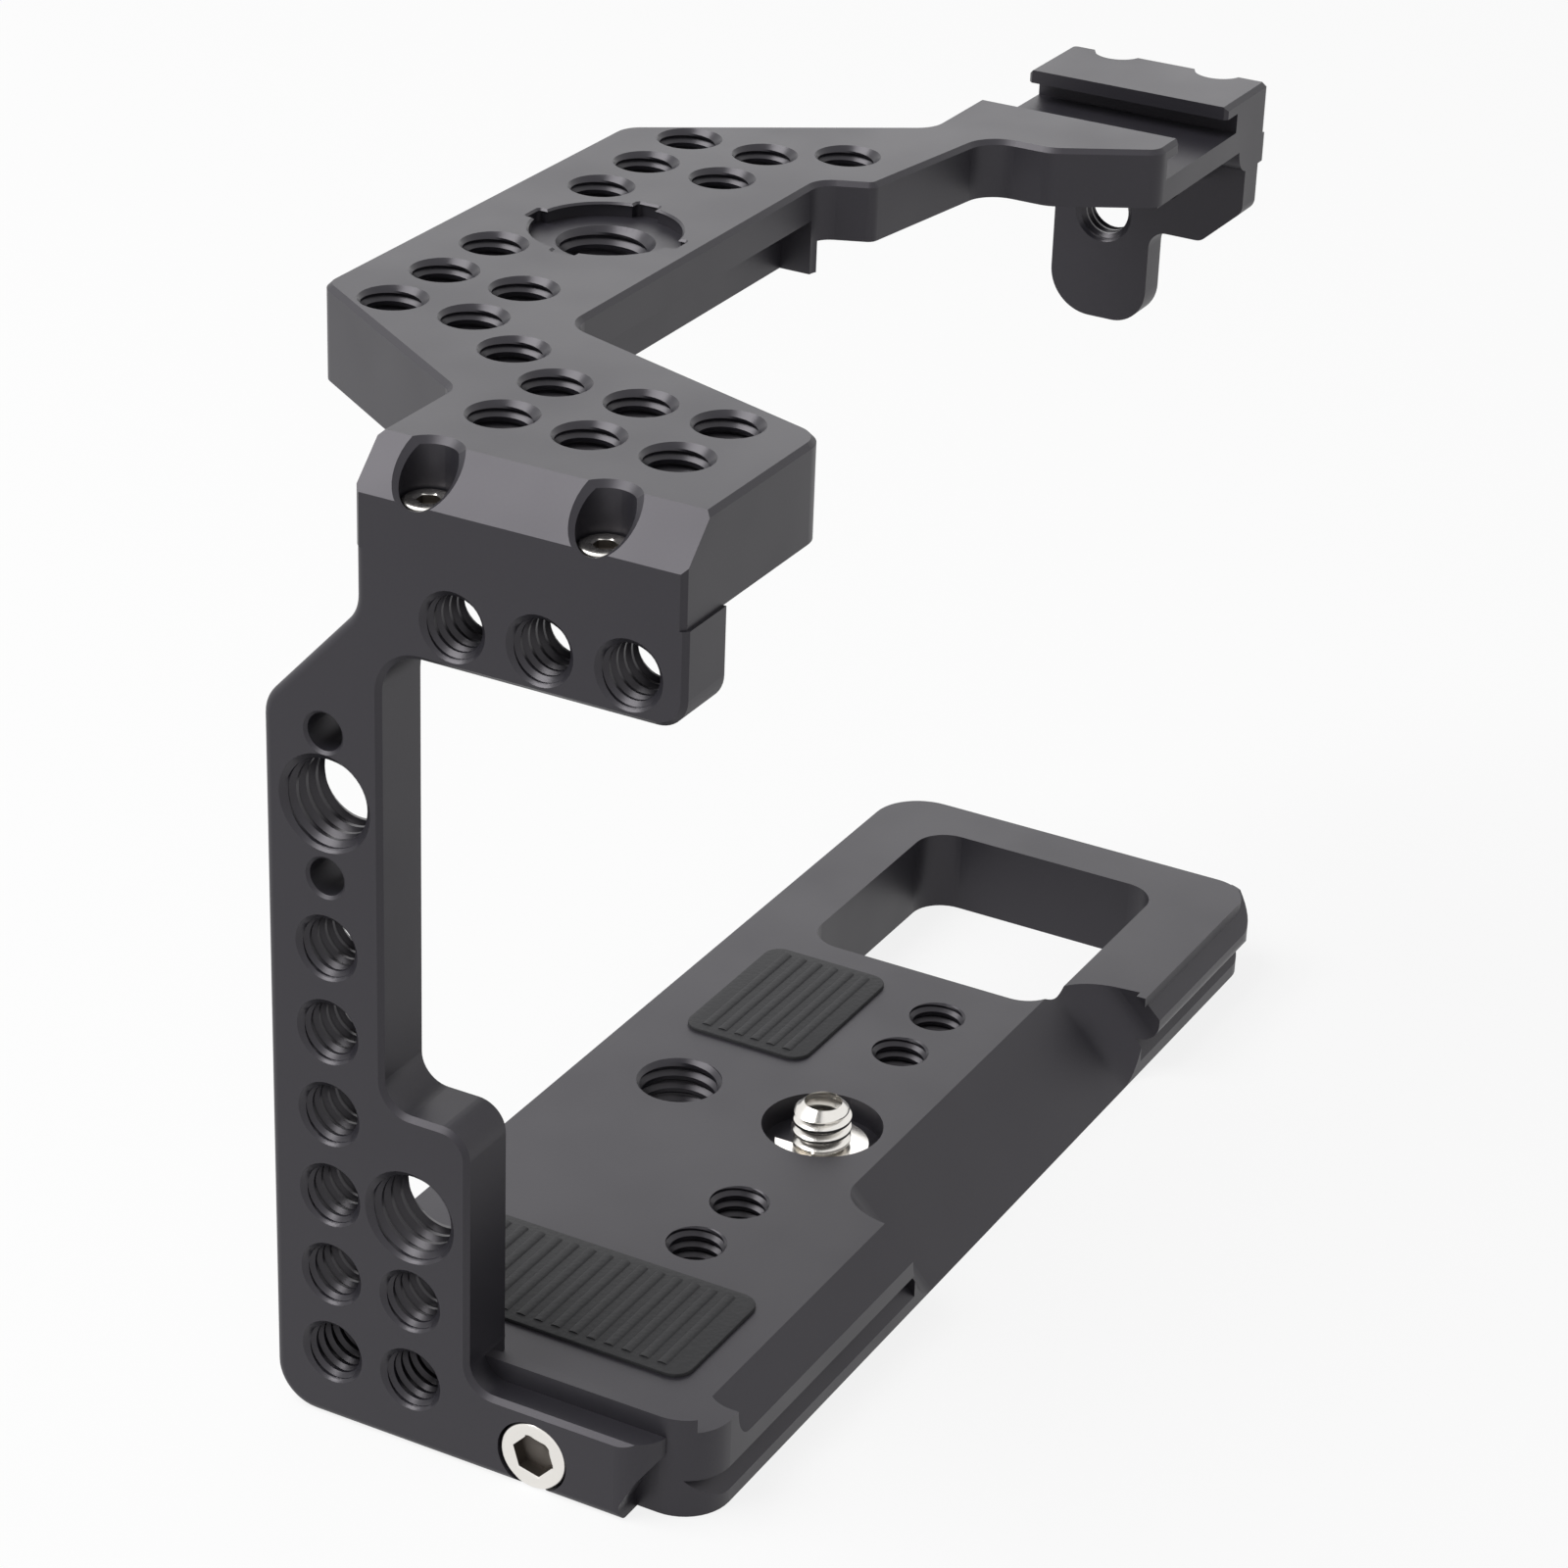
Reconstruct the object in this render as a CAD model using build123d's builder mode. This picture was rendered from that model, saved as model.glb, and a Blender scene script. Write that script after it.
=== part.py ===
from build123d import *
from math import sqrt
import os

# Camera cage: a three-plate skeleton of machined aluminium round a mirrorless camera.
# Origin: axis of the camera screw, on the underside of the base plate.
# +X runs from the side plate to the cold shoe, +Y towards the lens, +Z up. Millimetres.

os.makedirs("parts", exist_ok=True)

# ---- driving dimensions --------------------------------------------------
# Overall skeleton
SIDE_LEFT = -60.0          # outer face of the side plate
SIDE_THICK = 6.8
FRONT = 28.7               # front edge of side plate and base plate
BASE_THICK = 9.6
TOP_Z = 104.1              # upper face of the top plate
TOP_THICK = 9.7            # over the camera's hump
ARM_THICK = 6.3            # arm and shoe end of the top plate
EDGE = 0.5                 # small chamfer on machined edges
CUT = 2.0                  # how far a cutting tool runs past the face it enters
NEAR = 0.05                # edges closer than this to a face count as lying on it

# Accessory holes
PITCH = 9.0                # grid of the threaded accessory holes
QUARTER_R = 3.15           # 1/4-20 thread, at its root in the plate
QUARTER_RIM = 3.45
LARGE_R = 4.65             # 3/8-16 thread, at its root in the plate
LARGE_RIM = 5.0
SMALL_R = 1.9              # plain pin holes beside the large one
SMALL_RIM = 2.2

# Side plate. Heights near its top are measured down from the top plate's face.
COLUMN_1_Y = 22.0
COLUMN_2_Y = 13.0
FIRST_HOLE_Z = 7.7
COLUMN_1_COUNT = 6
COLUMN_2_COUNT = 2
LARGE_SIDE_Z = 67.8
LARGE_LOW_Z = 26.1
PIN_OFFSET_UP = 7.2
PIN_OFFSET_DOWN = 7.7
BLOCK_REAR = -15.5         # rear edge of the upper block
BLOCK_DROP = 19.3
BLOCK_HOLE_DROP = 15.1
BLOCK_HOLE_Y = 8.2         # foremost hole of the row
BLOCK_HOLE_COUNT = 3
SHOULDER_Y = 18.4
SHOULDER_DROP = 16.1       # where the slanted shoulder starts
SHOULDER_FOOT_DROP = 27.3  # where it reaches the front edge
WINDOW_FRONT = 15.9
WIDE_COLUMN_REAR = 6.5
WIDE_COLUMN_TOP = 37.2
FOOT_TOP = 8.9
FOOT_NOSE = -13.9          # rearmost point of the foot, at its top
FOOT_NOSE_R = 4.0          # its rounding seen from above
FOOT_HEEL = -10.8          # rear end of the foot's sole
HEEL_TOP = (0.4, 1.5)      # corners of the foot's rear curve, from the heel
HEEL_WAIST = (-1.2, 4.6)
NOSE_UNDER = 7.2           # height of the nose's lower corner
FOOT_SKIN = 3.1            # foot left outside the base plate's tongue
SOLE_FILLET = 0.9

# Base plate
BASE_REAR = -18.05
BASE_RIGHT = 73.6
TONGUE_CORNER = 5.0
BASE_CORNER = 6.0
FLANGE_CORNER = 4.5        # rear right corner of the rim below the groove
END_WALL_TOP = 11.1        # raised lip behind the foot
END_WALL_THICK = 1.3
FLANGE_THICK = 1.5         # rim below the rear groove
GROOVE_TOP = 4.15
GROOVE_RIGHT = -13.0
POD_LEFT = 43.0            # thicker rear rim at the right end
POD_REAR = -19.6
POD_BEVEL_START = 6.75
POD_LOWER_R = 1.8
BEVEL_START = 6.15         # height where the rear bevel begins
BEVEL_LEFT = -50.5
BEVEL_END_R = 2.4
MIDDLE_END_R = 5.0         # soft run-out at both ends of the middle bevel
MIDDLE_RISE = 6.0
MIDDLE_SPREAD = 1.0
UNDER_QUARTER_X = 18.0     # inner holes of the underside's two pairs
UNDER_LARGE_Y = 17.5

# Battery door window in the base plate
BATTERY_X = (35.0, 67.0)
BATTERY_Y = (-9.0, 21.0)
BATTERY_CORNER = 4.0

# Top plate
HUMP_FRONT = 43.1
HUMP_LEFT = -28.0
HUMP_RIGHT = 28.3
SHOULDER_X = -44.1         # where the left block meets the slanted front
BLOCK_RIGHT = -35.3        # right rear corner of the left block
OPENING_LEFT = -24.5       # viewfinder opening, at its front
OPENING_RIGHT = 24.6
OPENING_FRONT = 17.5
ARM_ROOT = (26.8, 12.3)    # where the arm's rear edge starts
DIAL_FRONT = (47.0, 9.3)   # gap over the dials, its right corners
DIAL_REAR = (47.1, 2.0)
ARM_LEFT = 46.7            # where the hump's slanted front meets the arm
THICK_RIGHT = 24.0         # the full thickness ends here, under the hump's right side
TOP_REAR = -15.2
FRONT_ROW_Y = 35.2
LEFT_ROW_X = -0.9          # the left rows count outwards from here
RIGHT_ROW_X = 1.6
CORNER_HOLES = ((-32.9, 18.7), (33.1, 18.8))
LEFT_GRID_X = -46.9        # foremost left hole of the grid on the left block
LEFT_GRID_Y = 11.2
RECESS_X = 0.0
RECESS_Y = 28.4
RECESS_R = 7.85
RECESS_DEPTH = 1.5
NOTCH_WIDTH = 3.0
NOTCH_REACH = 0.9          # beyond the rim of the recess
NOTCH_CORNER = 0.5
LEFT_BEVEL = 4.4
RELIEF_DROP = 3.9          # roof of the relief, below the upper face
RELIEF_WIDTH = 46.0
RELIEF_DEPTH = 3.5

# Cold shoe
SHOE_LEFT = 53.1
SHOE_REAR = -7.95
SHOE_FRONT = 15.95
SHOE_RIGHT = 81.8
SHOE_CORNER = 0.6
LIP_OPENING = 12.65
LIP_FLARE = 0.4
SLOT_WIDTH = 18.6
SLOT_CENTRE = 64.22
SLOT_HEIGHT = 2.2
LIP_THICK = 1.45
RAIL_THICK = 4.0           # right rail of the shoe, and the lug below it
RAIL_FILLET = 2.8
SCOOP_Y = (10.3, -1.9)
SCOOP_R = 2.75
SCOOP_OUT = 0.25           # centre of the scoops outside the rail's face

# Handle lug. Heights are measured down from the underside of the arm.
LUG_FLANGE_WIDTH = 11.8    # from the rail's inner face inwards
LUG_FLANGE_THICK = 4.9
LUG_FLANGE_Y = (-2.5, 10.5)
LUG_HOLE_Y = 9.0
LUG_HOLE_DROP = 11.1
LUG_FRONT = 15.0
LUG_REAR = -7.7
LUG_REAR_DROP = 7.8
LUG_LOBE_REAR = 3.2
LUG_LOBE_DROP = 23.6
LUG_HEEL_DROP = 12.1
LUG_TOE_Y = -3.0
LUG_SCREW_INSET = 7.3      # from the rail's inner face inwards
LUG_SCREW_Y = (7.9, 0.1)
LUG_SCREW_BITE = 2.0       # thread held in the shoe's floor

# Fasteners. Tapped holes and shanks share the radius of the thread's core.
CLEARANCE = 0.15           # clearance holes are this much wider than their shanks
HEAD_GAP = 0.25            # counterbores are this much wider than their heads
HEAD_SINK = 0.1            # heads stay this far below the face
DRILL_RUN = 0.5            # blind holes run this far past the screw's tip
SOCKET_SHARE = 0.6         # depth of a socket as a share of the head's height
DOWEL_R = 1.0
DOWEL_LENGTH = 8.0
TOP_SCREW_X = -57.3
TOP_SCREW_Y = (12.3, -5.7)
TOP_SCREW_R = 1.05
TOP_SCREW_LENGTH = 5.0
TOP_SEAT_DROP = 8.0
TOP_HEAD_R = 2.4
TOP_HEAD = 2.5
TOP_HEX = 2.0
TOP_RIM = 0.6              # chamfer round the pockets' mouths
TOP_DOWEL_X = -56.6
TOP_DOWEL_Y = 3.7
FOOT_SCREW_Y = -0.8
FOOT_SCREW_Z = 3.7
FOOT_SCREW_R = 2.0
FOOT_SCREW_LENGTH = 9.0
FOOT_HEAD_R = 3.6
FOOT_HEAD = 1.9
FOOT_HEX = 4.0
FOOT_DOWEL_YZ = ((9.5, 3.0), (23.0, 2.9))
LUG_SCREW_R = 1.25
LUG_HEAD_R = 2.75
LUG_HEX = 2.0
LUG_HEX_DEPTH = 1.4

# Camera screw
SCREW_R = 3.1              # 1/4-20 shank
SCREW_HEAD_R = 8.0
SCREW_HEAD = 2.4
SCREW_HEAD_Z = 0.4         # underside of the head with the screw dropped
SCREW_TIP = 12.5
SCREW_RECESS_GAP = 0.5     # round the head
SCREW_BORE_GAP = 0.2       # round the shank
WEB_BOTTOM = 5.2           # the web left between head recess and clip recess
WEB_TOP = 6.8
CLIP_THICK = 0.6
CLIP_R = 5.0
CLIP_RECESS_GAP = 1.5
CLIP_GROOVE_R = 2.3
CLIP_FIT = 0.06
CLIP_PLAY = 0.2
CLIP_MOUTH = 3.6
CLIP_MOUTH_START = 0.5     # the mouth opens this far in front of the axis
RING_WIRE_R = 0.8
RING_PIN_R = 0.78
RING_R = 5.9
RING_FIT = 0.06
RING_GAP = 0.25            # between the ring and the walls of its trench
RING_EYE_INSET = 0.05
BOSS_R = 4.5
PIVOT_DEPTH = 1.8
PIVOT_END_GAP = 0.4
COIN_SLOT = 1.6
COIN_SLOT_DEPTH = 1.2

# Rubber pads on the base plate, as corner points
PAD_THICK = 0.6
PAD_CORNER = 2.0
LEFT_PAD = ((-49.0, -11.0), (-33.0, 21.0))
RIGHT_PAD = ((10.0, 8.0), (31.0, 23.0))

# ---- derived sizes ---------------------------------------------------------
SIDE_RIGHT = SIDE_LEFT + SIDE_THICK
TOP_UNDER = TOP_Z - TOP_THICK
ARM_UNDER = TOP_Z - ARM_THICK
BLOCK_HOLE_Z = TOP_Z - BLOCK_HOLE_DROP
BLOCK_BOTTOM = TOP_Z - BLOCK_DROP
TONGUE_LEFT = SIDE_LEFT + FOOT_SKIN
GROOVE_DEEP = BASE_REAR + GROOVE_TOP - FLANGE_THICK
RAIL_INNER = SHOE_RIGHT - RAIL_THICK
LUG_SCREW_X = RAIL_INNER - LUG_SCREW_INSET
LUG_FLANGE_LEFT = RAIL_INNER - LUG_FLANGE_WIDTH
FLOOR_TOP = TOP_Z - LIP_THICK - SLOT_HEIGHT
RAIL_BOTTOM = ARM_UNDER - RAIL_FILLET
TOP_SCREW_SEAT = TOP_Z - TOP_SEAT_DROP
TOP_POCKET_R = TOP_HEAD_R + HEAD_GAP
LUG_FLANGE_BOTTOM = ARM_UNDER - LUG_FLANGE_THICK
SCREW_HEAD_TOP = SCREW_HEAD_Z + SCREW_HEAD
RING_Z = SCREW_HEAD_Z + RING_WIRE_R + RING_FIT
RING_TRENCH = 2 * RING_WIRE_R + 2 * RING_FIT

top_screw_spots = [(TOP_SCREW_X, y) for y in TOP_SCREW_Y]
foot_screw_spot = (FOOT_SCREW_Y, FOOT_SCREW_Z)
side_face = Plane(origin=(SIDE_LEFT, 0, 0), x_dir=(0, -1, 0), z_dir=(-1, 0, 0))
top_face = Plane.XY.offset(TOP_Z)


def on_side(spots):
    """Spots given as (Y, Z) in the coordinates of the side plate's outer face."""
    return [(-y, z) for y, z in spots]


def countersunk_holes(plane, spots, bore, rim, depth):
    """Holes with a 45 degree mouth, cut into the current part from a plane inwards."""
    with Locations(*[plane.location * Location((x, y, 0)) for x, y in spots]):
        CounterSinkHole(bore, rim, depth, counter_sink_angle=90)


def drill(plane, spots, radius, depth):
    """Plain holes cut into the current part; a positive depth runs along the plane's normal."""
    with BuildSketch(plane) as discs:
        with Locations(*spots):
            Circle(radius)
    extrude(discs.sketch, amount=depth, mode=Mode.SUBTRACT)


# ---- side plate ------------------------------------------------------------
# Outline in (Y, Z) with the radius of each corner; the nose of the foot curves backwards
side_corners = [
    ((BLOCK_REAR, TOP_UNDER), 0),
    ((SHOULDER_Y, TOP_UNDER), 0),
    ((SHOULDER_Y, TOP_Z - SHOULDER_DROP), 4.0),
    ((FRONT, TOP_Z - SHOULDER_FOOT_DROP), 4.0),
    ((FRONT, 0), 4.5),
    ((FOOT_HEEL, 0), 0),
    ((FOOT_HEEL + HEEL_TOP[0], HEEL_TOP[1]), 1.2),
    ((FOOT_HEEL + HEEL_WAIST[0], HEEL_WAIST[1]), 2.5),
    ((FOOT_NOSE, NOSE_UNDER), 0.4),
    ((FOOT_NOSE, FOOT_TOP), 0),
    ((WIDE_COLUMN_REAR, FOOT_TOP), 2.8),
    ((WIDE_COLUMN_REAR, WIDE_COLUMN_TOP), 3.0),
    ((WINDOW_FRONT, WIDE_COLUMN_TOP), 3.0),
    ((WINDOW_FRONT, BLOCK_BOTTOM), 4.3),
    ((BLOCK_REAR, BLOCK_BOTTOM), 3.0),
]
column_1 = [(COLUMN_1_Y, FIRST_HOLE_Z + PITCH * i) for i in range(COLUMN_1_COUNT)]
column_2 = [(COLUMN_2_Y, FIRST_HOLE_Z + PITCH * i) for i in range(COLUMN_2_COUNT)]
block_row = [(BLOCK_HOLE_Y - PITCH * i, BLOCK_HOLE_Z) for i in range(BLOCK_HOLE_COUNT)]
large_side = [(COLUMN_1_Y, LARGE_SIDE_Z), (COLUMN_2_Y, LARGE_LOW_Z)]
pin_holes = [
    (COLUMN_1_Y, LARGE_SIDE_Z + PIN_OFFSET_UP),
    (COLUMN_1_Y, LARGE_SIDE_Z - PIN_OFFSET_DOWN),
]

with BuildPart() as side_plate:
    with BuildSketch(Plane.YZ.offset(SIDE_LEFT)):
        with BuildLine():
            FilletPolyline(
                *[point for point, _ in side_corners],
                radius=[radius for _, radius in side_corners],
                close=True,
            )
        make_face()
    extrude(amount=SIDE_THICK)
    outer_edges = side_plate.faces().sort_by(Axis.X)[0].outer_wire().edges()
    fillet(outer_edges.filter_by(lambda e: e.center().Z < NEAR), SOLE_FILLET)
    outer_edges = side_plate.faces().sort_by(Axis.X)[0].outer_wire().edges()
    chamfer(
        outer_edges.filter_by(lambda e: FOOT_TOP - NEAR < e.center().Z < TOP_UNDER - NEAR),
        EDGE,
    )
    # Rounded nose of the foot, seen from above
    with BuildSketch(Plane.XY):
        with Locations((SIDE_LEFT, FOOT_NOSE)):
            Rectangle(FOOT_NOSE_R, FOOT_NOSE_R, align=(Align.MIN, Align.MIN))
        with Locations((SIDE_LEFT + FOOT_NOSE_R, FOOT_NOSE + FOOT_NOSE_R)):
            Circle(FOOT_NOSE_R, mode=Mode.SUBTRACT)
    extrude(amount=FOOT_TOP, mode=Mode.SUBTRACT)
    # Rebate that takes the base plate's tongue behind the foot and the column's step
    with BuildSketch(Plane.XY):
        with Locations((TONGUE_LEFT, FOOT_NOSE - CUT)):
            Rectangle(
                SIDE_THICK,
                WIDE_COLUMN_REAR - FOOT_NOSE + CUT,
                align=(Align.MIN, Align.MIN),
            )
    extrude(amount=END_WALL_TOP, mode=Mode.SUBTRACT)
    # Accessory holes
    quarter_holes = on_side(column_1 + column_2 + block_row)
    countersunk_holes(side_face, quarter_holes, QUARTER_R, QUARTER_RIM, SIDE_THICK)
    countersunk_holes(side_face, on_side(large_side), LARGE_R, LARGE_RIM, SIDE_THICK)
    countersunk_holes(side_face, on_side(pin_holes), SMALL_R, SMALL_RIM, SIDE_THICK)
    # Foot screw: counterbore and clearance hole
    foot_spots = on_side([foot_screw_spot])
    drill(side_face, foot_spots, FOOT_HEAD_R + HEAD_GAP, -FOOT_HEAD - HEAD_SINK)
    drill(side_face, foot_spots, FOOT_SCREW_R + CLEARANCE, -SIDE_THICK)
    # Tapped holes and dowel hole of the top joint
    joint = Plane.XY.offset(TOP_UNDER)
    tapped_depth = TOP_SCREW_LENGTH + DRILL_RUN - (TOP_SCREW_SEAT - TOP_UNDER)
    drill(joint, top_screw_spots, TOP_SCREW_R, -tapped_depth)
    drill(joint, [(TOP_DOWEL_X, TOP_DOWEL_Y)], DOWEL_R, -DOWEL_LENGTH / 2)
    # Dowel holes of the foot joint
    drill(Plane.YZ.offset(SIDE_RIGHT), FOOT_DOWEL_YZ, DOWEL_R, -DOWEL_LENGTH / 2)
side_plate.part.label = "side_plate"
export_step(side_plate.part, "parts/side_plate.step")

# ---- base plate ------------------------------------------------------------
base_outline = [
    (TONGUE_LEFT, BASE_REAR),
    (BASE_RIGHT, BASE_REAR),
    (BASE_RIGHT, FRONT),
    (SIDE_RIGHT, FRONT),
    (SIDE_RIGHT, WIDE_COLUMN_REAR),
    (TONGUE_LEFT, WIDE_COLUMN_REAR),
]
base_radii = [TONGUE_CORNER, FLANGE_CORNER, BASE_CORNER, 0, 0, 0]
underside = Plane.XY.rotated((180, 0, 0))
under_quarters = [
    (side * (UNDER_QUARTER_X + PITCH * i), 0) for side in (-1, 1) for i in range(2)
]

with BuildPart() as base_plate:
    with BuildSketch():
        with BuildLine():
            FilletPolyline(*base_outline, radius=base_radii, close=True)
        make_face()
    extrude(amount=BASE_THICK)
    # Raised end wall behind the foot, following the tongue's rounded corner
    with BuildSketch(Plane.XY.offset(BASE_THICK)):
        with BuildLine():
            FilletPolyline(*base_outline, radius=base_radii, close=True)
        make_face()
        with Locations((TONGUE_LEFT, WIDE_COLUMN_REAR)):
            Rectangle(
                END_WALL_THICK,
                WIDE_COLUMN_REAR - BASE_REAR,
                align=(Align.MIN, Align.MAX),
                mode=Mode.INTERSECT,
            )
    extrude(amount=END_WALL_TOP - BASE_THICK)
    # Thicker rear rim at the right end, its corner rounded above the groove
    with BuildSketch(Plane.YZ.offset(POD_LEFT)):
        with BuildLine():
            FilletPolyline(
                (GROOVE_DEEP, BASE_THICK),
                (POD_REAR + BASE_THICK - POD_BEVEL_START, BASE_THICK),
                (POD_REAR, POD_BEVEL_START),
                (POD_REAR, GROOVE_TOP),
                (GROOVE_DEEP, GROOVE_TOP),
                radius=[0, 0, 0, POD_LOWER_R, 0],
                close=True,
            )
        make_face()
    extrude(amount=BASE_RIGHT - POD_LEFT)
    with BuildSketch(Plane.XY.offset(GROOVE_TOP)):
        with Locations((BASE_RIGHT, POD_REAR)):
            Rectangle(BASE_CORNER, BASE_CORNER, align=(Align.MAX, Align.MIN))
        with Locations((BASE_RIGHT - BASE_CORNER, POD_REAR + BASE_CORNER)):
            Circle(BASE_CORNER, mode=Mode.SUBTRACT)
    extrude(amount=BASE_THICK, mode=Mode.SUBTRACT)
    # Grooves under the rear rim, left and right
    for left, right in ((TONGUE_LEFT - CUT, GROOVE_RIGHT), (POD_LEFT, BASE_RIGHT + CUT)):
        with BuildSketch(Plane.YZ.offset(left)):
            with BuildLine():
                Polyline(
                    (BASE_REAR - CUT, FLANGE_THICK - CUT),
                    (GROOVE_DEEP, GROOVE_TOP),
                    (BASE_REAR - CUT, GROOVE_TOP),
                    close=True,
                )
            make_face()
        extrude(amount=right - left, mode=Mode.SUBTRACT)
    # Rear bevel at 45 degrees, its left end rounded like the cutter that made it
    bevel_width = sqrt(2) * (BASE_THICK - BEVEL_START)
    rear_slope = Plane(origin=(0, BASE_REAR, BEVEL_START), x_dir=(1, 0, 0), z_dir=(0, -1, 1))
    with BuildSketch(rear_slope):
        with BuildLine():
            FilletPolyline(
                (BEVEL_LEFT, 0),
                (POD_LEFT, 0),
                (POD_LEFT, bevel_width + EDGE),
                (BEVEL_LEFT, bevel_width + EDGE),
                radius=[BEVEL_END_R, 0, 0, BEVEL_END_R],
                close=True,
            )
        make_face()
    extrude(amount=2 * CUT, mode=Mode.SUBTRACT)
    # Middle bevel, from the bottom edge upwards, its ends softened
    middle_slope = Plane(origin=(0, BASE_REAR, 0), x_dir=(1, 0, 0), z_dir=(0, 1, 1))
    with BuildSketch(middle_slope):
        with BuildLine():
            FilletPolyline(
                (GROOVE_RIGHT, 0),
                (POD_LEFT, 0),
                (POD_LEFT + MIDDLE_SPREAD, -MIDDLE_RISE),
                (GROOVE_RIGHT - MIDDLE_SPREAD, -MIDDLE_RISE),
                radius=[MIDDLE_END_R, MIDDLE_END_R, 0, 0],
                close=True,
            )
        make_face()
    extrude(amount=3 * BASE_THICK, both=True, mode=Mode.SUBTRACT)
    # Window for the battery door
    with BuildSketch():
        with Locations((sum(BATTERY_X) / 2, sum(BATTERY_Y) / 2)):
            RectangleRounded(
                BATTERY_X[1] - BATTERY_X[0], BATTERY_Y[1] - BATTERY_Y[0], BATTERY_CORNER
            )
    extrude(amount=BASE_THICK, mode=Mode.SUBTRACT)
    # Seat of the camera screw: recess for the head, web, recess for the clip
    drill(Plane.XY, [(0, 0)], SCREW_HEAD_R + SCREW_RECESS_GAP, WEB_BOTTOM)
    drill(Plane.XY, [(0, 0)], SCREW_R + SCREW_BORE_GAP, BASE_THICK)
    drill(Plane.XY.offset(WEB_TOP), [(0, 0)], CLIP_R + CLIP_RECESS_GAP, BASE_THICK)
    # Threaded holes of the underside
    drill(Plane.XY, under_quarters, QUARTER_R, BASE_THICK)
    countersunk_holes(underside, [(0, -UNDER_LARGE_Y)], LARGE_R, LARGE_RIM, BASE_THICK)
    # Tapped hole of the foot screw, dowel holes beside it
    drill(Plane.YZ.offset(TONGUE_LEFT), [foot_screw_spot], FOOT_SCREW_R, FOOT_SCREW_LENGTH)
    drill(Plane.YZ.offset(SIDE_RIGHT), FOOT_DOWEL_YZ, DOWEL_R, DOWEL_LENGTH / 2)
base_plate.part.label = "base_plate"
export_step(base_plate.part, "parts/base_plate.step")

# ---- top plate -------------------------------------------------------------
# Outline in (X, Y) with the radius of each corner, from the left rear corner on
top_corners = [
    ((SIDE_LEFT, TOP_REAR), 0),
    ((BLOCK_RIGHT, TOP_REAR), 3.5),
    ((OPENING_LEFT, OPENING_FRONT), 3.2),
    ((OPENING_RIGHT, OPENING_FRONT), 2.5),
    (ARM_ROOT, 1.2),
    (DIAL_FRONT, 3.6),
    (DIAL_REAR, 4.0),
    ((SHOE_LEFT, SHOE_REAR), 2.2),
    ((SHOE_RIGHT, SHOE_REAR), SHOE_CORNER),
    ((SHOE_RIGHT, SHOE_FRONT), 1.0),
    ((ARM_LEFT, SHOE_FRONT), 3.0),
    ((HUMP_RIGHT, HUMP_FRONT), 3.5),
    ((HUMP_LEFT, HUMP_FRONT), 2.5),
    ((SHOULDER_X, SHOULDER_Y), 2.5),
    ((SIDE_LEFT, SHOULDER_Y), 0),
]
front_rows = [(LEFT_ROW_X - PITCH * i, FRONT_ROW_Y) for i in (1, 2, 3)]
front_rows += [(RIGHT_ROW_X + PITCH * i, FRONT_ROW_Y) for i in (1, 2, 3)]
second_rows = [(LEFT_ROW_X - PITCH * i, FRONT_ROW_Y - PITCH) for i in (2, 3)]
second_rows += [(RIGHT_ROW_X + PITCH * i, FRONT_ROW_Y - PITCH) for i in (2, 3)]
left_grid = [(LEFT_GRID_X + PITCH * i, LEFT_GRID_Y - PITCH * j) for i in (0, 1) for j in (0, 1, 2)]
top_quarters = front_rows + second_rows + left_grid + list(CORNER_HOLES)
# Half of the shoe's mouth as (distance from its middle, Y), flared at both ends
mouth_half = LIP_OPENING / 2
mouth_side = [
    (mouth_half + LIP_FLARE, SHOE_REAR - CUT),
    (mouth_half + LIP_FLARE, SHOE_REAR),
    (mouth_half, SHOE_REAR + LIP_FLARE),
    (mouth_half, SHOE_FRONT - LIP_FLARE),
    (mouth_half + LIP_FLARE, SHOE_FRONT),
    (mouth_half + LIP_FLARE, SHOE_FRONT + CUT),
]
mouth_outline = [(SLOT_CENTRE + x, y) for x, y in mouth_side]
mouth_outline += [(SLOT_CENTRE - x, y) for x, y in reversed(mouth_side)]

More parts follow.
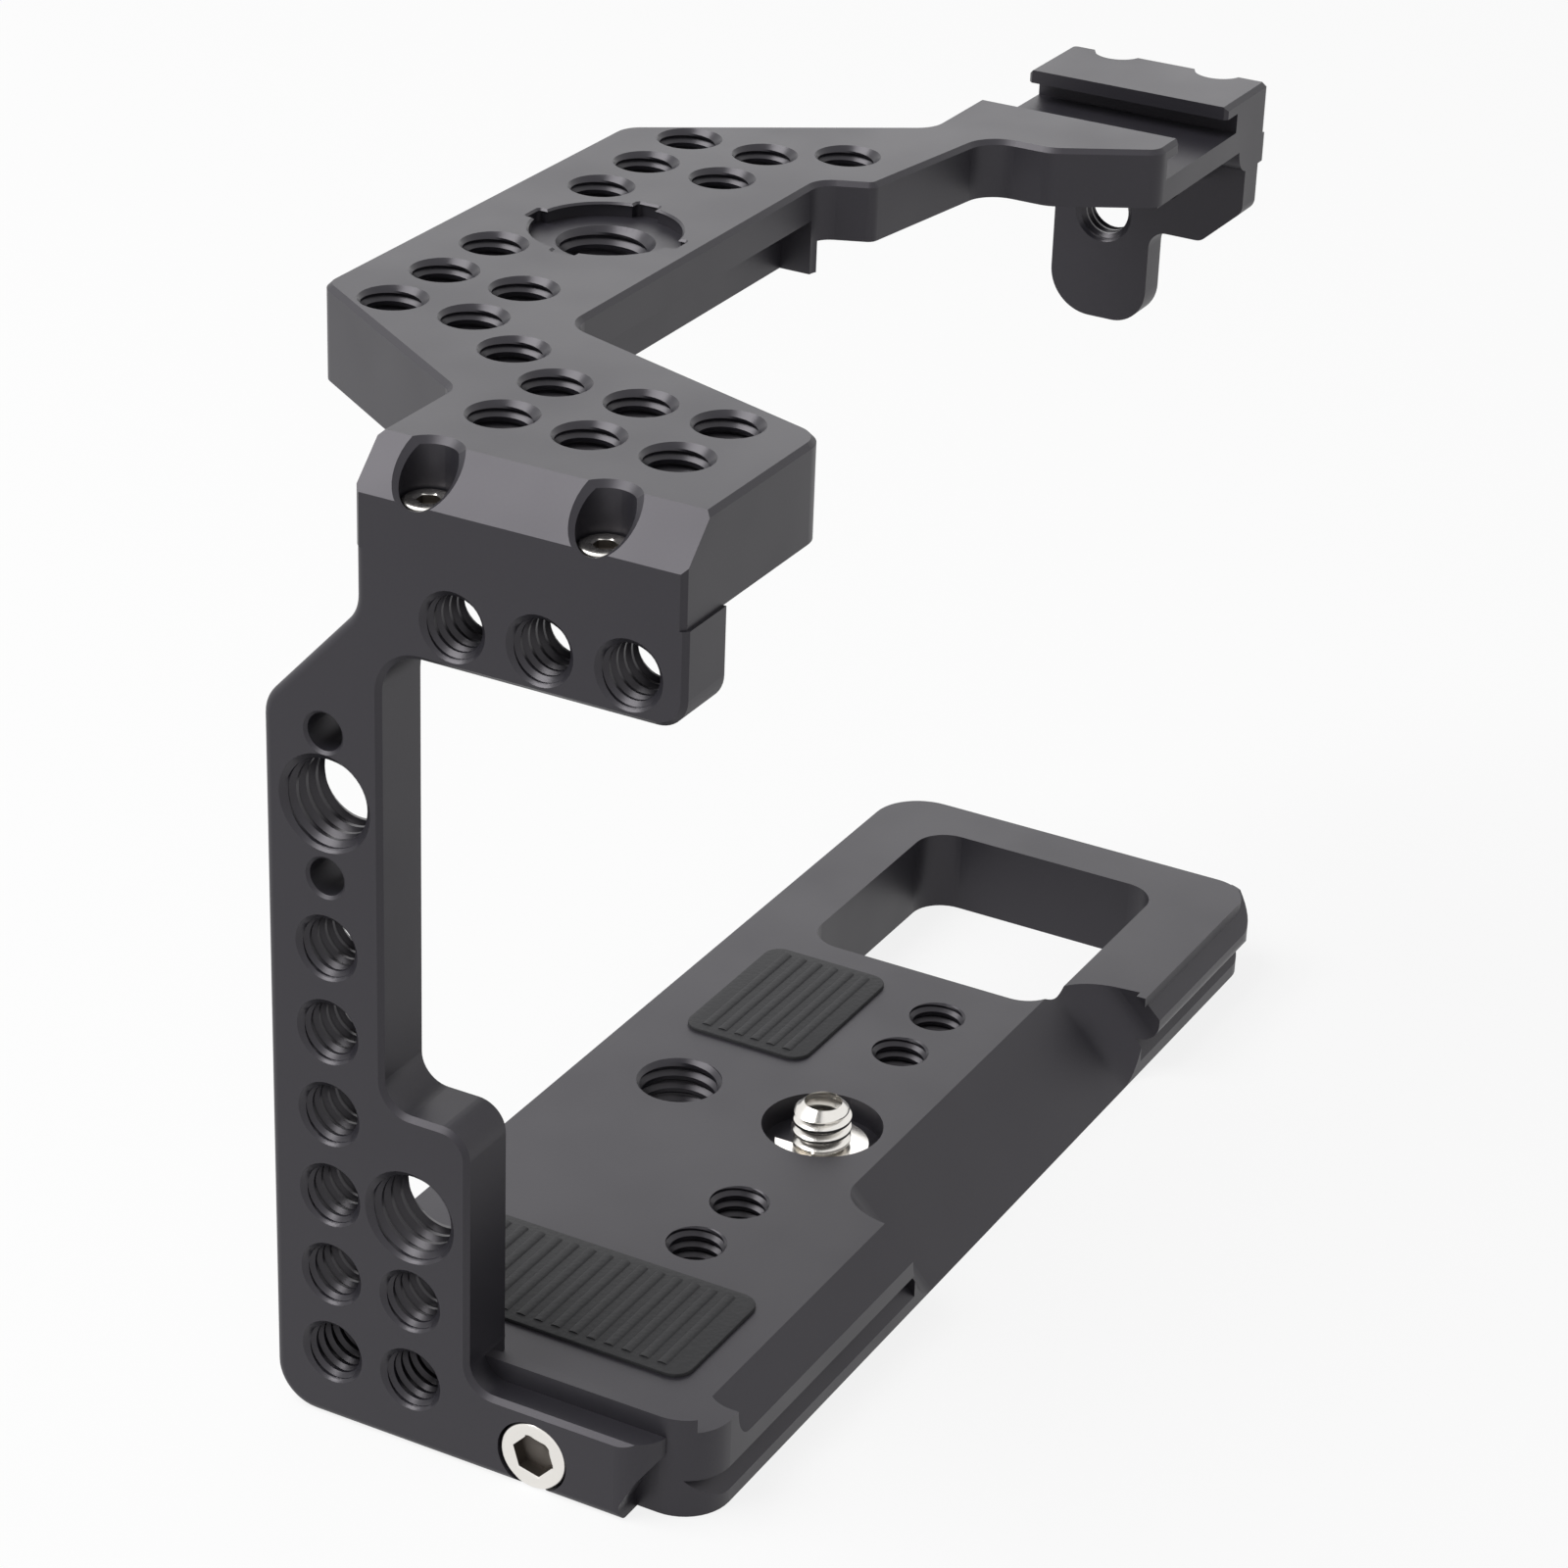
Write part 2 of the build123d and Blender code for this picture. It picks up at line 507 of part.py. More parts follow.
with BuildPart() as top_plate:
    with BuildSketch(Plane.XY.offset(TOP_UNDER)):
        with BuildLine():
            FilletPolyline(
                *[point for point, _ in top_corners],
                radius=[radius for _, radius in top_corners],
                close=True,
            )
        make_face()
    extrude(amount=TOP_THICK)
    # The arm and the shoe are thinner than the bridge over the hump
    with BuildSketch(Plane.XY.offset(TOP_UNDER)):
        with Locations((THICK_RIGHT, 0)):
            Rectangle(SHOE_RIGHT, 3 * HUMP_FRONT, align=(Align.MIN, Align.CENTER))
    extrude(amount=TOP_THICK - ARM_THICK, mode=Mode.SUBTRACT)
    chamfer(top_plate.edges().filter_by(Axis.Z).group_by(Axis.X)[0], EDGE)
    # Hanging edge of the shoe's right rail, blended into the floor
    with BuildSketch(Plane.XZ.offset(-SHOE_REAR)):
        with BuildLine():
            rail_sides = Polyline(
                (RAIL_INNER - RAIL_FILLET, ARM_UNDER + EDGE),
                (SHOE_RIGHT, ARM_UNDER + EDGE),
                (SHOE_RIGHT, RAIL_BOTTOM),
                (RAIL_INNER, RAIL_BOTTOM),
            )
            blend = RadiusArc(
                rail_sides @ 1, (RAIL_INNER - RAIL_FILLET, ARM_UNDER), RAIL_FILLET
            )
            Line(blend @ 1, rail_sides @ 0)
        make_face()
    extrude(amount=-(SHOE_FRONT - SHOE_REAR))
    # Small chamfer round the upper face, then the wide bevel above the side plate
    chamfer(top_plate.faces().sort_by(Axis.Z)[-1].outer_wire().edges(), EDGE)
    with BuildSketch(Plane.XZ.offset(-HUMP_FRONT - CUT)):
        with BuildLine():
            Polyline(
                (SIDE_LEFT - CUT, TOP_Z - LEFT_BEVEL - CUT),
                (SIDE_LEFT + LEFT_BEVEL + CUT, TOP_Z + CUT),
                (SIDE_LEFT - CUT, TOP_Z + CUT),
                close=True,
            )
        make_face()
    extrude(amount=HUMP_FRONT - TOP_REAR + 2 * CUT, mode=Mode.SUBTRACT)
    # Cold shoe: T-slot open at both ends, its mouth flared
    with BuildSketch(Plane.XY.offset(FLOOR_TOP)):
        with Locations((SLOT_CENTRE, SHOE_REAR - CUT)):
            Rectangle(
                SLOT_WIDTH, SHOE_FRONT - SHOE_REAR + 2 * CUT, align=(Align.CENTER, Align.MIN)
            )
    extrude(amount=SLOT_HEIGHT, mode=Mode.SUBTRACT)
    with BuildSketch(Plane.XY.offset(FLOOR_TOP)):
        with BuildLine():
            Polyline(*mouth_outline, close=True)
        make_face()
    extrude(amount=TOP_Z - FLOOR_TOP + CUT, mode=Mode.SUBTRACT)
    # Scoops in the outer face of the shoe's rail
    scoop_spots = [(SHOE_RIGHT + SCOOP_OUT, y) for y in SCOOP_Y]
    drill(Plane.XY.offset(RAIL_BOTTOM), scoop_spots, SCOOP_R, TOP_Z - RAIL_BOTTOM)
    # Relief under the front wall of the viewfinder opening
    with BuildSketch(Plane.XY.offset(TOP_UNDER)):
        with Locations((RECESS_X, OPENING_FRONT - CUT)):
            Rectangle(RELIEF_WIDTH, RELIEF_DEPTH + CUT, align=(Align.CENTER, Align.MIN))
    extrude(amount=TOP_THICK - RELIEF_DROP, mode=Mode.SUBTRACT)
    # Locating recess with four notches round the large threaded hole
    with BuildSketch(top_face):
        with Locations((RECESS_X, RECESS_Y)):
            Circle(RECESS_R)
            with PolarLocations(RECESS_R, 4):
                RectangleRounded(2 * NOTCH_REACH, NOTCH_WIDTH, NOTCH_CORNER)
    extrude(amount=-RECESS_DEPTH, mode=Mode.SUBTRACT)
    recess_floor = top_face.offset(-RECESS_DEPTH)
    countersunk_holes(recess_floor, [(RECESS_X, RECESS_Y)], LARGE_R, LARGE_RIM, TOP_THICK)
    countersunk_holes(top_face, top_quarters, QUARTER_R, QUARTER_RIM, TOP_THICK)
    # Pockets and clearance holes for the two screws into the side plate
    seat = Plane.XY.offset(TOP_SCREW_SEAT)
    drill(seat, top_screw_spots, TOP_POCKET_R, TOP_SEAT_DROP)
    drill(seat, top_screw_spots, TOP_SCREW_R + CLEARANCE, TOP_UNDER - TOP_SCREW_SEAT)
    # Their mouths, chamfered on the bevel and on the upper face
    slope_spot = -sqrt(2) * (TOP_SCREW_X - SIDE_LEFT)
    for y in TOP_SCREW_Y:
        for radius, drop in ((TOP_POCKET_R + TOP_RIM, 0), (TOP_POCKET_R, TOP_RIM)):
            bevel_face = Plane(
                origin=(SIDE_LEFT, 0, TOP_Z - LEFT_BEVEL - drop),
                x_dir=(0, 1, 0),
                z_dir=(-1, 0, 1),
            )
            with BuildSketch(bevel_face):
                with Locations((y, slope_spot)):
                    Ellipse(radius, sqrt(2) * radius)
        loft(ruled=True, mode=Mode.SUBTRACT)
        for radius, drop in ((TOP_POCKET_R + TOP_RIM, 0), (TOP_POCKET_R, TOP_RIM)):
            with BuildSketch(top_face.offset(-drop)):
                with Locations((TOP_SCREW_X, y)):
                    Circle(radius)
        loft(ruled=True, mode=Mode.SUBTRACT)
    # Blind tapped holes under the shoe's floor for the lug's screws
    lug_spots = [(LUG_SCREW_X, y) for y in LUG_SCREW_Y]
    drill(Plane.XY.offset(ARM_UNDER), lug_spots, LUG_SCREW_R, LUG_SCREW_BITE + CLEARANCE)
    # Dowel hole
    drill(Plane.XY.offset(TOP_UNDER), [(TOP_DOWEL_X, TOP_DOWEL_Y)], DOWEL_R, DOWEL_LENGTH / 2)
top_plate.part.label = "top_plate"
export_step(top_plate.part, "parts/top_plate.step")

# ---- handle lug ------------------------------------------------------------
lug_corners = [
    ((LUG_REAR, RAIL_BOTTOM), 0),
    ((LUG_FRONT, RAIL_BOTTOM), 0),
    ((LUG_FRONT, ARM_UNDER - LUG_LOBE_DROP), 5.0),
    ((LUG_LOBE_REAR, ARM_UNDER - LUG_LOBE_DROP), 4.0),
    ((LUG_LOBE_REAR, ARM_UNDER - LUG_HEEL_DROP), 2.0),
    ((LUG_TOE_Y, ARM_UNDER - LUG_HEEL_DROP), 1.5),
    ((LUG_REAR, ARM_UNDER - LUG_REAR_DROP), 1.5),
]
lug_inner = Plane(origin=(RAIL_INNER, 0, 0), x_dir=(0, -1, 0), z_dir=(-1, 0, 0))
flange_under = Plane(origin=(0, 0, LUG_FLANGE_BOTTOM), x_dir=(1, 0, 0), z_dir=(0, 0, -1))
flange_spots = [(LUG_SCREW_X, -y) for y in LUG_SCREW_Y]
lug_clearance_r = LUG_SCREW_R + CLEARANCE

with BuildPart() as handle_lug:
    with BuildSketch(Plane.YZ.offset(RAIL_INNER)):
        with BuildLine():
            FilletPolyline(
                *[point for point, _ in lug_corners],
                radius=[radius for _, radius in lug_corners],
                close=True,
            )
        make_face()
    extrude(amount=RAIL_THICK)
    lug_edges = handle_lug.faces().sort_by(Axis.X)[-1].outer_wire().edges()
    chamfer(lug_edges.filter_by(lambda e: e.center().Z < RAIL_BOTTOM - NEAR), EDGE)
    # Flange that bolts up against the underside of the shoe's floor
    with BuildSketch(Plane.XZ.offset(-LUG_FLANGE_Y[1])):
        with BuildLine():
            Polyline(
                (LUG_FLANGE_LEFT, LUG_FLANGE_BOTTOM),
                (LUG_FLANGE_LEFT, ARM_UNDER),
                (RAIL_INNER - RAIL_FILLET - HEAD_GAP, ARM_UNDER),
                (RAIL_INNER - RAIL_FILLET - HEAD_GAP, RAIL_BOTTOM),
                (RAIL_INNER + CUT, RAIL_BOTTOM),
                (RAIL_INNER + CUT, LUG_FLANGE_BOTTOM),
                close=True,
            )
        make_face()
    extrude(amount=LUG_FLANGE_Y[1] - LUG_FLANGE_Y[0])
    lug_hole = (-LUG_HOLE_Y, ARM_UNDER - LUG_HOLE_DROP)
    countersunk_holes(lug_inner, [lug_hole], QUARTER_R, QUARTER_RIM, RAIL_THICK)
    # Clearance holes, countersunk from below
    countersunk_holes(
        flange_under, flange_spots, lug_clearance_r, LUG_HEAD_R + CLEARANCE, LUG_FLANGE_THICK
    )
handle_lug.part.label = "handle_lug"
export_step(handle_lug.part, "parts/handle_lug.step")


def socket_screw(shank, head, head_height, length, hexagon, plane, spots):
    """Socket-head screws: seat of the head on the plane, shank running below it."""
    with BuildSketch(plane) as head_disc:
        with Locations(*spots):
            Circle(head)
    extrude(head_disc.sketch, amount=head_height)
    with BuildSketch(plane) as shank_disc:
        with Locations(*spots):
            Circle(shank)
    extrude(shank_disc.sketch, amount=-length)
    with BuildSketch(plane.offset(head_height)) as socket:
        with Locations(*spots):
            RegularPolygon(hexagon / 2, 6, major_radius=False)
    extrude(socket.sketch, amount=-head_height * SOCKET_SHARE, mode=Mode.SUBTRACT)


def dowels(plane, spots):
    """Plain pins that stand half in each of the two plates they join."""
    with BuildSketch(plane.offset(-DOWEL_LENGTH / 2)) as discs:
        with Locations(*spots):
            Circle(DOWEL_R)
    extrude(discs.sketch, amount=DOWEL_LENGTH)


# ---- fasteners -------------------------------------------------------------
with BuildPart() as top_joint_screws:
    socket_screw(
        TOP_SCREW_R, TOP_HEAD_R, TOP_HEAD, TOP_SCREW_LENGTH, TOP_HEX, seat, top_screw_spots
    )
top_joint_screws.part.label = "top_joint_screws"
export_step(top_joint_screws.part, "parts/top_joint_screws.step")

with BuildPart() as top_joint_dowel:
    dowels(Plane.XY.offset(TOP_UNDER), [(TOP_DOWEL_X, TOP_DOWEL_Y)])
top_joint_dowel.part.label = "top_joint_dowel"
export_step(top_joint_dowel.part, "parts/top_joint_dowel.step")

foot_seat = side_face.offset(-FOOT_HEAD - HEAD_SINK)
with BuildPart() as foot_screw:
    socket_screw(
        FOOT_SCREW_R, FOOT_HEAD_R, FOOT_HEAD, FOOT_SCREW_LENGTH, FOOT_HEX, foot_seat, foot_spots
    )
foot_screw.part.label = "foot_screw"
export_step(foot_screw.part, "parts/foot_screw.step")

with BuildPart() as foot_dowels:
    dowels(Plane.YZ.offset(SIDE_RIGHT), FOOT_DOWEL_YZ)
foot_dowels.part.label = "foot_dowels"
export_step(foot_dowels.part, "parts/foot_dowels.step")

with BuildPart() as lug_screws:
    with BuildSketch(flange_under):
        with Locations(*flange_spots):
            Circle(LUG_HEAD_R)
    extrude(amount=-(LUG_HEAD_R - LUG_SCREW_R), taper=45)
    with BuildSketch(flange_under):
        with Locations(*flange_spots):
            Circle(LUG_SCREW_R)
    extrude(amount=-(LUG_FLANGE_THICK + LUG_SCREW_BITE))
    with BuildSketch(flange_under):
        with Locations(*flange_spots):
            RegularPolygon(LUG_HEX / 2, 6, major_radius=False)
    extrude(amount=-LUG_HEX_DEPTH, mode=Mode.SUBTRACT)
lug_screws.part.label = "lug_screws"
export_step(lug_screws.part, "parts/lug_screws.step")

# ---- camera screw ----------------------------------------------------------
with BuildPart() as camera_screw:
    with BuildSketch(Plane.XY.offset(SCREW_HEAD_Z)):
        Circle(SCREW_HEAD_R)
    extrude(amount=SCREW_HEAD)
    with BuildSketch(Plane.XY.offset(SCREW_HEAD_TOP)):
        Circle(SCREW_R)
    extrude(amount=SCREW_TIP - SCREW_HEAD_TOP)
    # Neck that the retaining clip snaps into
    with BuildSketch(Plane.XY.offset(WEB_TOP - CLIP_FIT)):
        Circle(SCREW_R + CUT)
        Circle(CLIP_GROOVE_R, mode=Mode.SUBTRACT)
    extrude(amount=CLIP_THICK + 2 * CLIP_FIT + CLIP_PLAY, mode=Mode.SUBTRACT)
    # Half trench that holds the folded ring, round the central boss
    with BuildSketch(Plane.XY.offset(SCREW_HEAD_Z)):
        Circle(RING_R + RING_WIRE_R + RING_GAP)
        Circle(BOSS_R, mode=Mode.SUBTRACT)
        with Locations((0, -RING_WIRE_R - RING_GAP)):
            Rectangle(
                4 * RING_R,
                2 * SCREW_HEAD_R,
                align=(Align.CENTER, Align.MIN),
                mode=Mode.INTERSECT,
            )
    extrude(amount=RING_TRENCH, mode=Mode.SUBTRACT)
    # Pivot holes in the boss, and the coin slot
    for side in (-1, 1):
        drill(
            Plane.YZ.offset(side * BOSS_R),
            [(0, RING_Z)],
            RING_PIN_R + RING_FIT,
            -side * PIVOT_DEPTH,
        )
    with BuildSketch(Plane.XY.offset(SCREW_HEAD_Z)):
        Rectangle(COIN_SLOT, 2 * BOSS_R)
    extrude(amount=COIN_SLOT_DEPTH, mode=Mode.SUBTRACT)
camera_screw.part.label = "camera_screw"
export_step(camera_screw.part, "parts/camera_screw.step")

# Flat half ring with an eye and a pivot pin at each end
eye_length = 2 * (RING_WIRE_R - RING_EYE_INSET)
pin_end = BOSS_R - PIVOT_DEPTH + PIVOT_END_GAP
with BuildPart() as camera_screw_ring:
    with BuildSketch(Plane.XY.offset(RING_Z - RING_WIRE_R)):
        Circle(RING_R + RING_WIRE_R)
        Circle(RING_R - RING_WIRE_R, mode=Mode.SUBTRACT)
        Rectangle(
            4 * RING_R, 2 * RING_R, align=(Align.CENTER, Align.MIN), mode=Mode.INTERSECT
        )
    extrude(amount=2 * RING_WIRE_R)
    for side in (-1, 1):
        with BuildSketch(Plane.YZ.offset(side * (RING_R + eye_length / 2))):
            with Locations((0, RING_Z)):
                Circle(RING_WIRE_R)
        extrude(amount=-side * eye_length)
        with BuildSketch(Plane.YZ.offset(side * RING_R)):
            with Locations((0, RING_Z)):
                Circle(RING_PIN_R)
        extrude(amount=-side * (RING_R - pin_end))
camera_screw_ring.part.label = "camera_screw_ring"
export_step(camera_screw_ring.part, "parts/camera_screw_ring.step")

with BuildPart() as camera_screw_retainer:
    with BuildSketch(Plane.XY.offset(WEB_TOP + CLIP_PLAY / 2)):
        Circle(CLIP_R)
        Circle(CLIP_GROOVE_R + CLIP_FIT, mode=Mode.SUBTRACT)
        with Locations((0, CLIP_MOUTH_START)):
            Rectangle(
                CLIP_MOUTH, CLIP_R, align=(Align.CENTER, Align.MIN), mode=Mode.SUBTRACT
            )
    extrude(amount=CLIP_THICK)
camera_screw_retainer.part.label = "camera_screw_retainer"
export_step(camera_screw_retainer.part, "parts/camera_screw_retainer.step")

# ---- rubber pads -----------------------------------------------------------
for name, ((x0, y0), (x1, y1)) in (("base_pad_left", LEFT_PAD), ("base_pad_right", RIGHT_PAD)):
    with BuildPart() as pad:
        with BuildSketch(Plane.XY.offset(BASE_THICK)):
            with Locations(((x0 + x1) / 2, (y0 + y1) / 2)):
                RectangleRounded(x1 - x0, y1 - y0, PAD_CORNER)
        extrude(amount=PAD_THICK)
    pad.part.label = name
    export_step(pad.part, f"parts/{name}.step")
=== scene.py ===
from math import asin, ceil, cos, pi, radians, sin

import bmesh
import bpy
from mathutils import Matrix, Vector


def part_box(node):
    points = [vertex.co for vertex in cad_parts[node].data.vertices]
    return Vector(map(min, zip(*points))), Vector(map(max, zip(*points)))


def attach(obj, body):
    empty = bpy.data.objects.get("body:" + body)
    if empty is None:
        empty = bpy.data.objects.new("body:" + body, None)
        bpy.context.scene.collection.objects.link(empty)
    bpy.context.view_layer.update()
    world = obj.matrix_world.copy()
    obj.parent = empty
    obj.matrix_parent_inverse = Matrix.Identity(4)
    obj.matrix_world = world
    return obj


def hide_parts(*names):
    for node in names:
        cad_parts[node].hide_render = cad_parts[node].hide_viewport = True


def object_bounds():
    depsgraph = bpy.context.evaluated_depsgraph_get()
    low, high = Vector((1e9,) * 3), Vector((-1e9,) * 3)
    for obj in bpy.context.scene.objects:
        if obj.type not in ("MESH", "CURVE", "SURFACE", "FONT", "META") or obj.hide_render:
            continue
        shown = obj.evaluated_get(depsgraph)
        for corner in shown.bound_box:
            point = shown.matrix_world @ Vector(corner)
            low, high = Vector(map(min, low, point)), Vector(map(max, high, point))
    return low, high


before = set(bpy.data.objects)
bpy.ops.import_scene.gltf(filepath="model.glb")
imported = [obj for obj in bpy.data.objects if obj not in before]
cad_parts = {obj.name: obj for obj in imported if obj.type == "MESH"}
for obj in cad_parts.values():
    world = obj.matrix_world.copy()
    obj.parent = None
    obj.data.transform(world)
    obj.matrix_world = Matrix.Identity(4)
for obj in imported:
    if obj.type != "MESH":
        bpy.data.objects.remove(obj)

bl_info = {
    "name": "Camera cage",
    "version": (1, 1, 0),
    "blender": (4, 5, 0),
    "location": "3D View > Sidebar > Camera cage",
    "description": "Dresses a machined camera cage: finishes, threads, screws and a plain stage",
    "category": "Object",
}

MM = 0.001
CAD_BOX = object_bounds()

# ---- where the holes and screws are, in millimetres in the frame of the part -----------

PITCH = 9.0                     # of the accessory holes
TOP_FACE = 104.1
BRIDGE_THICK = 9.7
ARM_THICK = 6.3
BRIDGE_RIGHT = 24.0             # holes right of it go through the thinner arm
FRONT_ROW_Y = 35.2
LEFT_ROW_X = -0.9               # one pitch beside the first hole of each front row
RIGHT_ROW_X = 1.6
CORNER_HOLES = ((-32.9, 18.7), (33.1, 18.8))
LEFT_GRID = (-46.9, 11.2)
RECESS = (0.0, 28.4)
RECESS_DEPTH = 1.5
RECESS_R = 7.85
NOTCH_WIDTH = 3.0
NOTCH_REACH = 0.9               # beyond the rim of the recess
NOTCH_CORNER = 0.5
EDGE_BREAK = 0.22               # width of the recess's broken edge

SIDE_FACE = -60.0
SIDE_THICK = 6.8
COLUMN_1_Y = 22.0
COLUMN_2_Y = 13.0
FIRST_HOLE_Z = 7.7
BLOCK_ROW = (8.2, 89.0)
SIDE_LARGE = ((22.0, 67.8), (13.0, 26.1))

BASE_THICK = 9.6
UNDER_QUARTER_X = 18.0
UNDER_LARGE_Y = 17.5

LUG_FACE = 77.8
LUG_THICK = 4.0
LUG_HOLE = (9.0, 86.7)

TAP_START = radians(116)        # how far round the threads of the top plate begin
MOUTH_SKIN = 0.01               # how far a thread's mouth stands before that of the plain hole
THREAD_END = 0.03               # how far a thread's last edge runs into the metal

TOP_SCREW_X = -57.3
TOP_SCREW_Y = (12.3, -5.7)
TOP_SEAT = 96.1
TOP_SHANK_R = 1.05
TOP_SHANK_LENGTH = 5.0
FOOT_SCREW = (-0.8, 3.7)
FOOT_SEAT = -58.0
FOOT_SHANK_R = 2.0
FOOT_SHANK_LENGTH = 9.0
FOOT_SCREW_TURN = radians(-13)

SCREW_NECK_TOP = 7.66
SCREW_TIP = 12.5
SCREW_ROOT_R = 2.52
SCREW_CREST_R = 3.09
SCREW_TIP_CHAMFER = 0.5
SCREW_REACH = 3.2               # everything of the camera screw's shank lies inside it
RING_R = 5.9
RING_BEND_R = 0.9
RING_BOW = radians(12)          # left free at each end of the bow for the bends
RING_Z = 1.26
RING_PIN_END = 3.1

PAD_CORNER_R = 2.0
PAD_MARGIN = 1.2
RIB_PITCH = 2.0
RIB_RISE = 0.2
RIB_SINK = 0.01                 # how far a rib's foot runs into the pad
RIB_SHARE = 0.56                # of the pitch that a rib's width takes

# ---- the stage, in metres --------------------------------------------------------

FLOOR_DROP = 0.02 * MM          # keeps the floor and the base's underside out of one plane
WHITE_SHARE = 0.85              # of plain white in the floor where it is seen
CAMERA_RIGHT = Vector((0.479252, -0.877025, 0.033822))
CAMERA_DOWN = Vector((-0.382247, -0.243258, -0.891467))
LAMPS = (
    # name, place, aim, side, power in watts
    ("lamp_key", (-0.42, 0.55, 1.0), (0, 0, 0.06), 0.85, 14.0),
    ("lamp_far", (1.0, 0.45, 0.55), (0, 0, 0.08), 0.8, 1.6),
)


def linear(hex_colour):
    """An sRGB hex colour as linear RGB."""
    values = [int(hex_colour[i : i + 2], 16) / 255 for i in (1, 3, 5)]
    return tuple(v / 12.92 if v <= 0.04045 else ((v + 0.055) / 1.055) ** 2.4 for v in values)


# ---- sizes and colours that a user may change ----------------------------------


class CageFinish(bpy.types.PropertyGroup):
    """Colours and textures of the cage's finishes."""

    anodised: bpy.props.FloatVectorProperty(
        name="Anodised aluminium",
        description="Dye colour of the anodised plates",
        subtype="COLOR",
        size=3,
        min=0.0,
        max=1.0,
        default=linear("#242328"),
    )
    nickel: bpy.props.FloatVectorProperty(
        name="Nickel plate",
        description="Colour of the plated screws",
        subtype="COLOR",
        size=3,
        min=0.0,
        max=1.0,
        default=linear("#e9e6e1"),
    )
    rubber: bpy.props.FloatVectorProperty(
        name="Rubber",
        description="Colour of the pads under the camera",
        subtype="COLOR",
        size=3,
        min=0.0,
        max=1.0,
        default=linear("#242426"),
    )
    blast_grain: bpy.props.FloatProperty(
        name="Blast grain",
        description="Size of the dimples that bead blasting leaves, drawn coarse enough to show",
        unit="LENGTH",
        default=0.25 * MM,
    )


class CageThreads(bpy.types.PropertyGroup):
    """Sizes of the two threads in the plates."""

    small_root: bpy.props.FloatProperty(
        name="Small thread, root",
        description="Radius at the bottom of the small thread's groove",
        unit="LENGTH",
        default=3.14 * MM,
    )
    small_crest: bpy.props.FloatProperty(
        name="Small thread, crest",
        description="Radius at the top of the small thread's ridge",
        unit="LENGTH",
        default=2.72 * MM,
    )
    small_pitch: bpy.props.FloatProperty(
        name="Small thread, pitch",
        description="Rise of the small thread in one turn",
        unit="LENGTH",
        default=1.27 * MM,
    )
    small_rim: bpy.props.FloatProperty(
        name="Small thread, mouth",
        description="Radius of the chamfer at the mouth of a small hole",
        unit="LENGTH",
        default=3.45 * MM,
    )
    large_root: bpy.props.FloatProperty(
        name="Large thread, root",
        description="Radius at the bottom of the large thread's groove",
        unit="LENGTH",
        default=4.64 * MM,
    )
    large_crest: bpy.props.FloatProperty(
        name="Large thread, crest",
        description="Radius at the top of the large thread's ridge",
        unit="LENGTH",
        default=4.15 * MM,
    )
    large_pitch: bpy.props.FloatProperty(
        name="Large thread, pitch",
        description="Rise of the large thread in one turn",
        unit="LENGTH",
        default=1.5875 * MM,
    )
    large_rim: bpy.props.FloatProperty(
        name="Large thread, mouth",
        description="Radius of the chamfer at the mouth of a large hole",
        unit="LENGTH",
        default=5.0 * MM,
    )


class CageScrews(bpy.types.PropertyGroup):
    """Sizes of the socket screws and of the camera screw."""

    foot_head: bpy.props.FloatProperty(
        name="Foot screw, head", description="Radius of its head", unit="LENGTH", default=3.68 * MM
    )
    foot_head_height: bpy.props.FloatProperty(
        name="Foot screw, head height",
        description="Height of its low head",
        unit="LENGTH",
        default=1.9 * MM,
    )
    foot_hexagon: bpy.props.FloatProperty(
        name="Foot screw, key", description="Width of its hexagon", unit="LENGTH", default=4.0 * MM
    )
    top_head: bpy.props.FloatProperty(
        name="Top screws, head", description="Radius of their heads", unit="LENGTH", default=2.4 * MM
    )
    top_head_height: bpy.props.FloatProperty(
        name="Top screws, head height",
        description="Height of their heads",
        unit="LENGTH",
        default=3.3 * MM,
    )
    top_hexagon: bpy.props.FloatProperty(
        name="Top screws, key", description="Width of their hexagon", unit="LENGTH", default=2.0 * MM
    )
    ring_wire: bpy.props.FloatProperty(
        name="Ring wire",
        description="Radius of the wire of the folding ring",
        unit="LENGTH",
        default=0.77 * MM,
    )


class CageStage(bpy.types.PropertyGroup):
    """The floor, lamps and camera."""

    lens: bpy.props.FloatProperty(
        name="Lens",
        description="Focal length on a 36 mm square sensor",
        unit="CAMERA",
        default=100.9,
    )
    camera_place: bpy.props.FloatVectorProperty(
        name="Camera place",
        description="Where the camera stands",
        subtype="TRANSLATION",
        size=3,
        default=(-356.3 * MM, -180.7 * MM, 252.2 * MM),
    )
    floor_size: bpy.props.FloatProperty(
        name="Floor size", description="Side of the square floor", unit="LENGTH", default=6.0
    )


# ---- materials -------------------------------------------------------------------


def add_node(tree, kind, settings=None, links=None):
    """Adds a node, sets its sockets or attributes, and links other nodes' outputs to it."""
    node = tree.nodes.new(kind)
    for key, value in (settings or {}).items():
        if key in node.inputs:
            node.inputs[key].default_value = value
        else:
            setattr(node, key, value)
    for key, source in (links or {}).items():
        tree.links.new(source, node.inputs[key])
    return node


def new_material(name):
    """An empty node material, or the one of that name emptied; returns it, its tree and output."""
    material = bpy.data.materials.get(name) or bpy.data.materials.new(name)
    material.use_nodes = True
    material.node_tree.nodes.clear()
    output = material.node_tree.nodes.new("ShaderNodeOutputMaterial")
    return material, material.node_tree, output


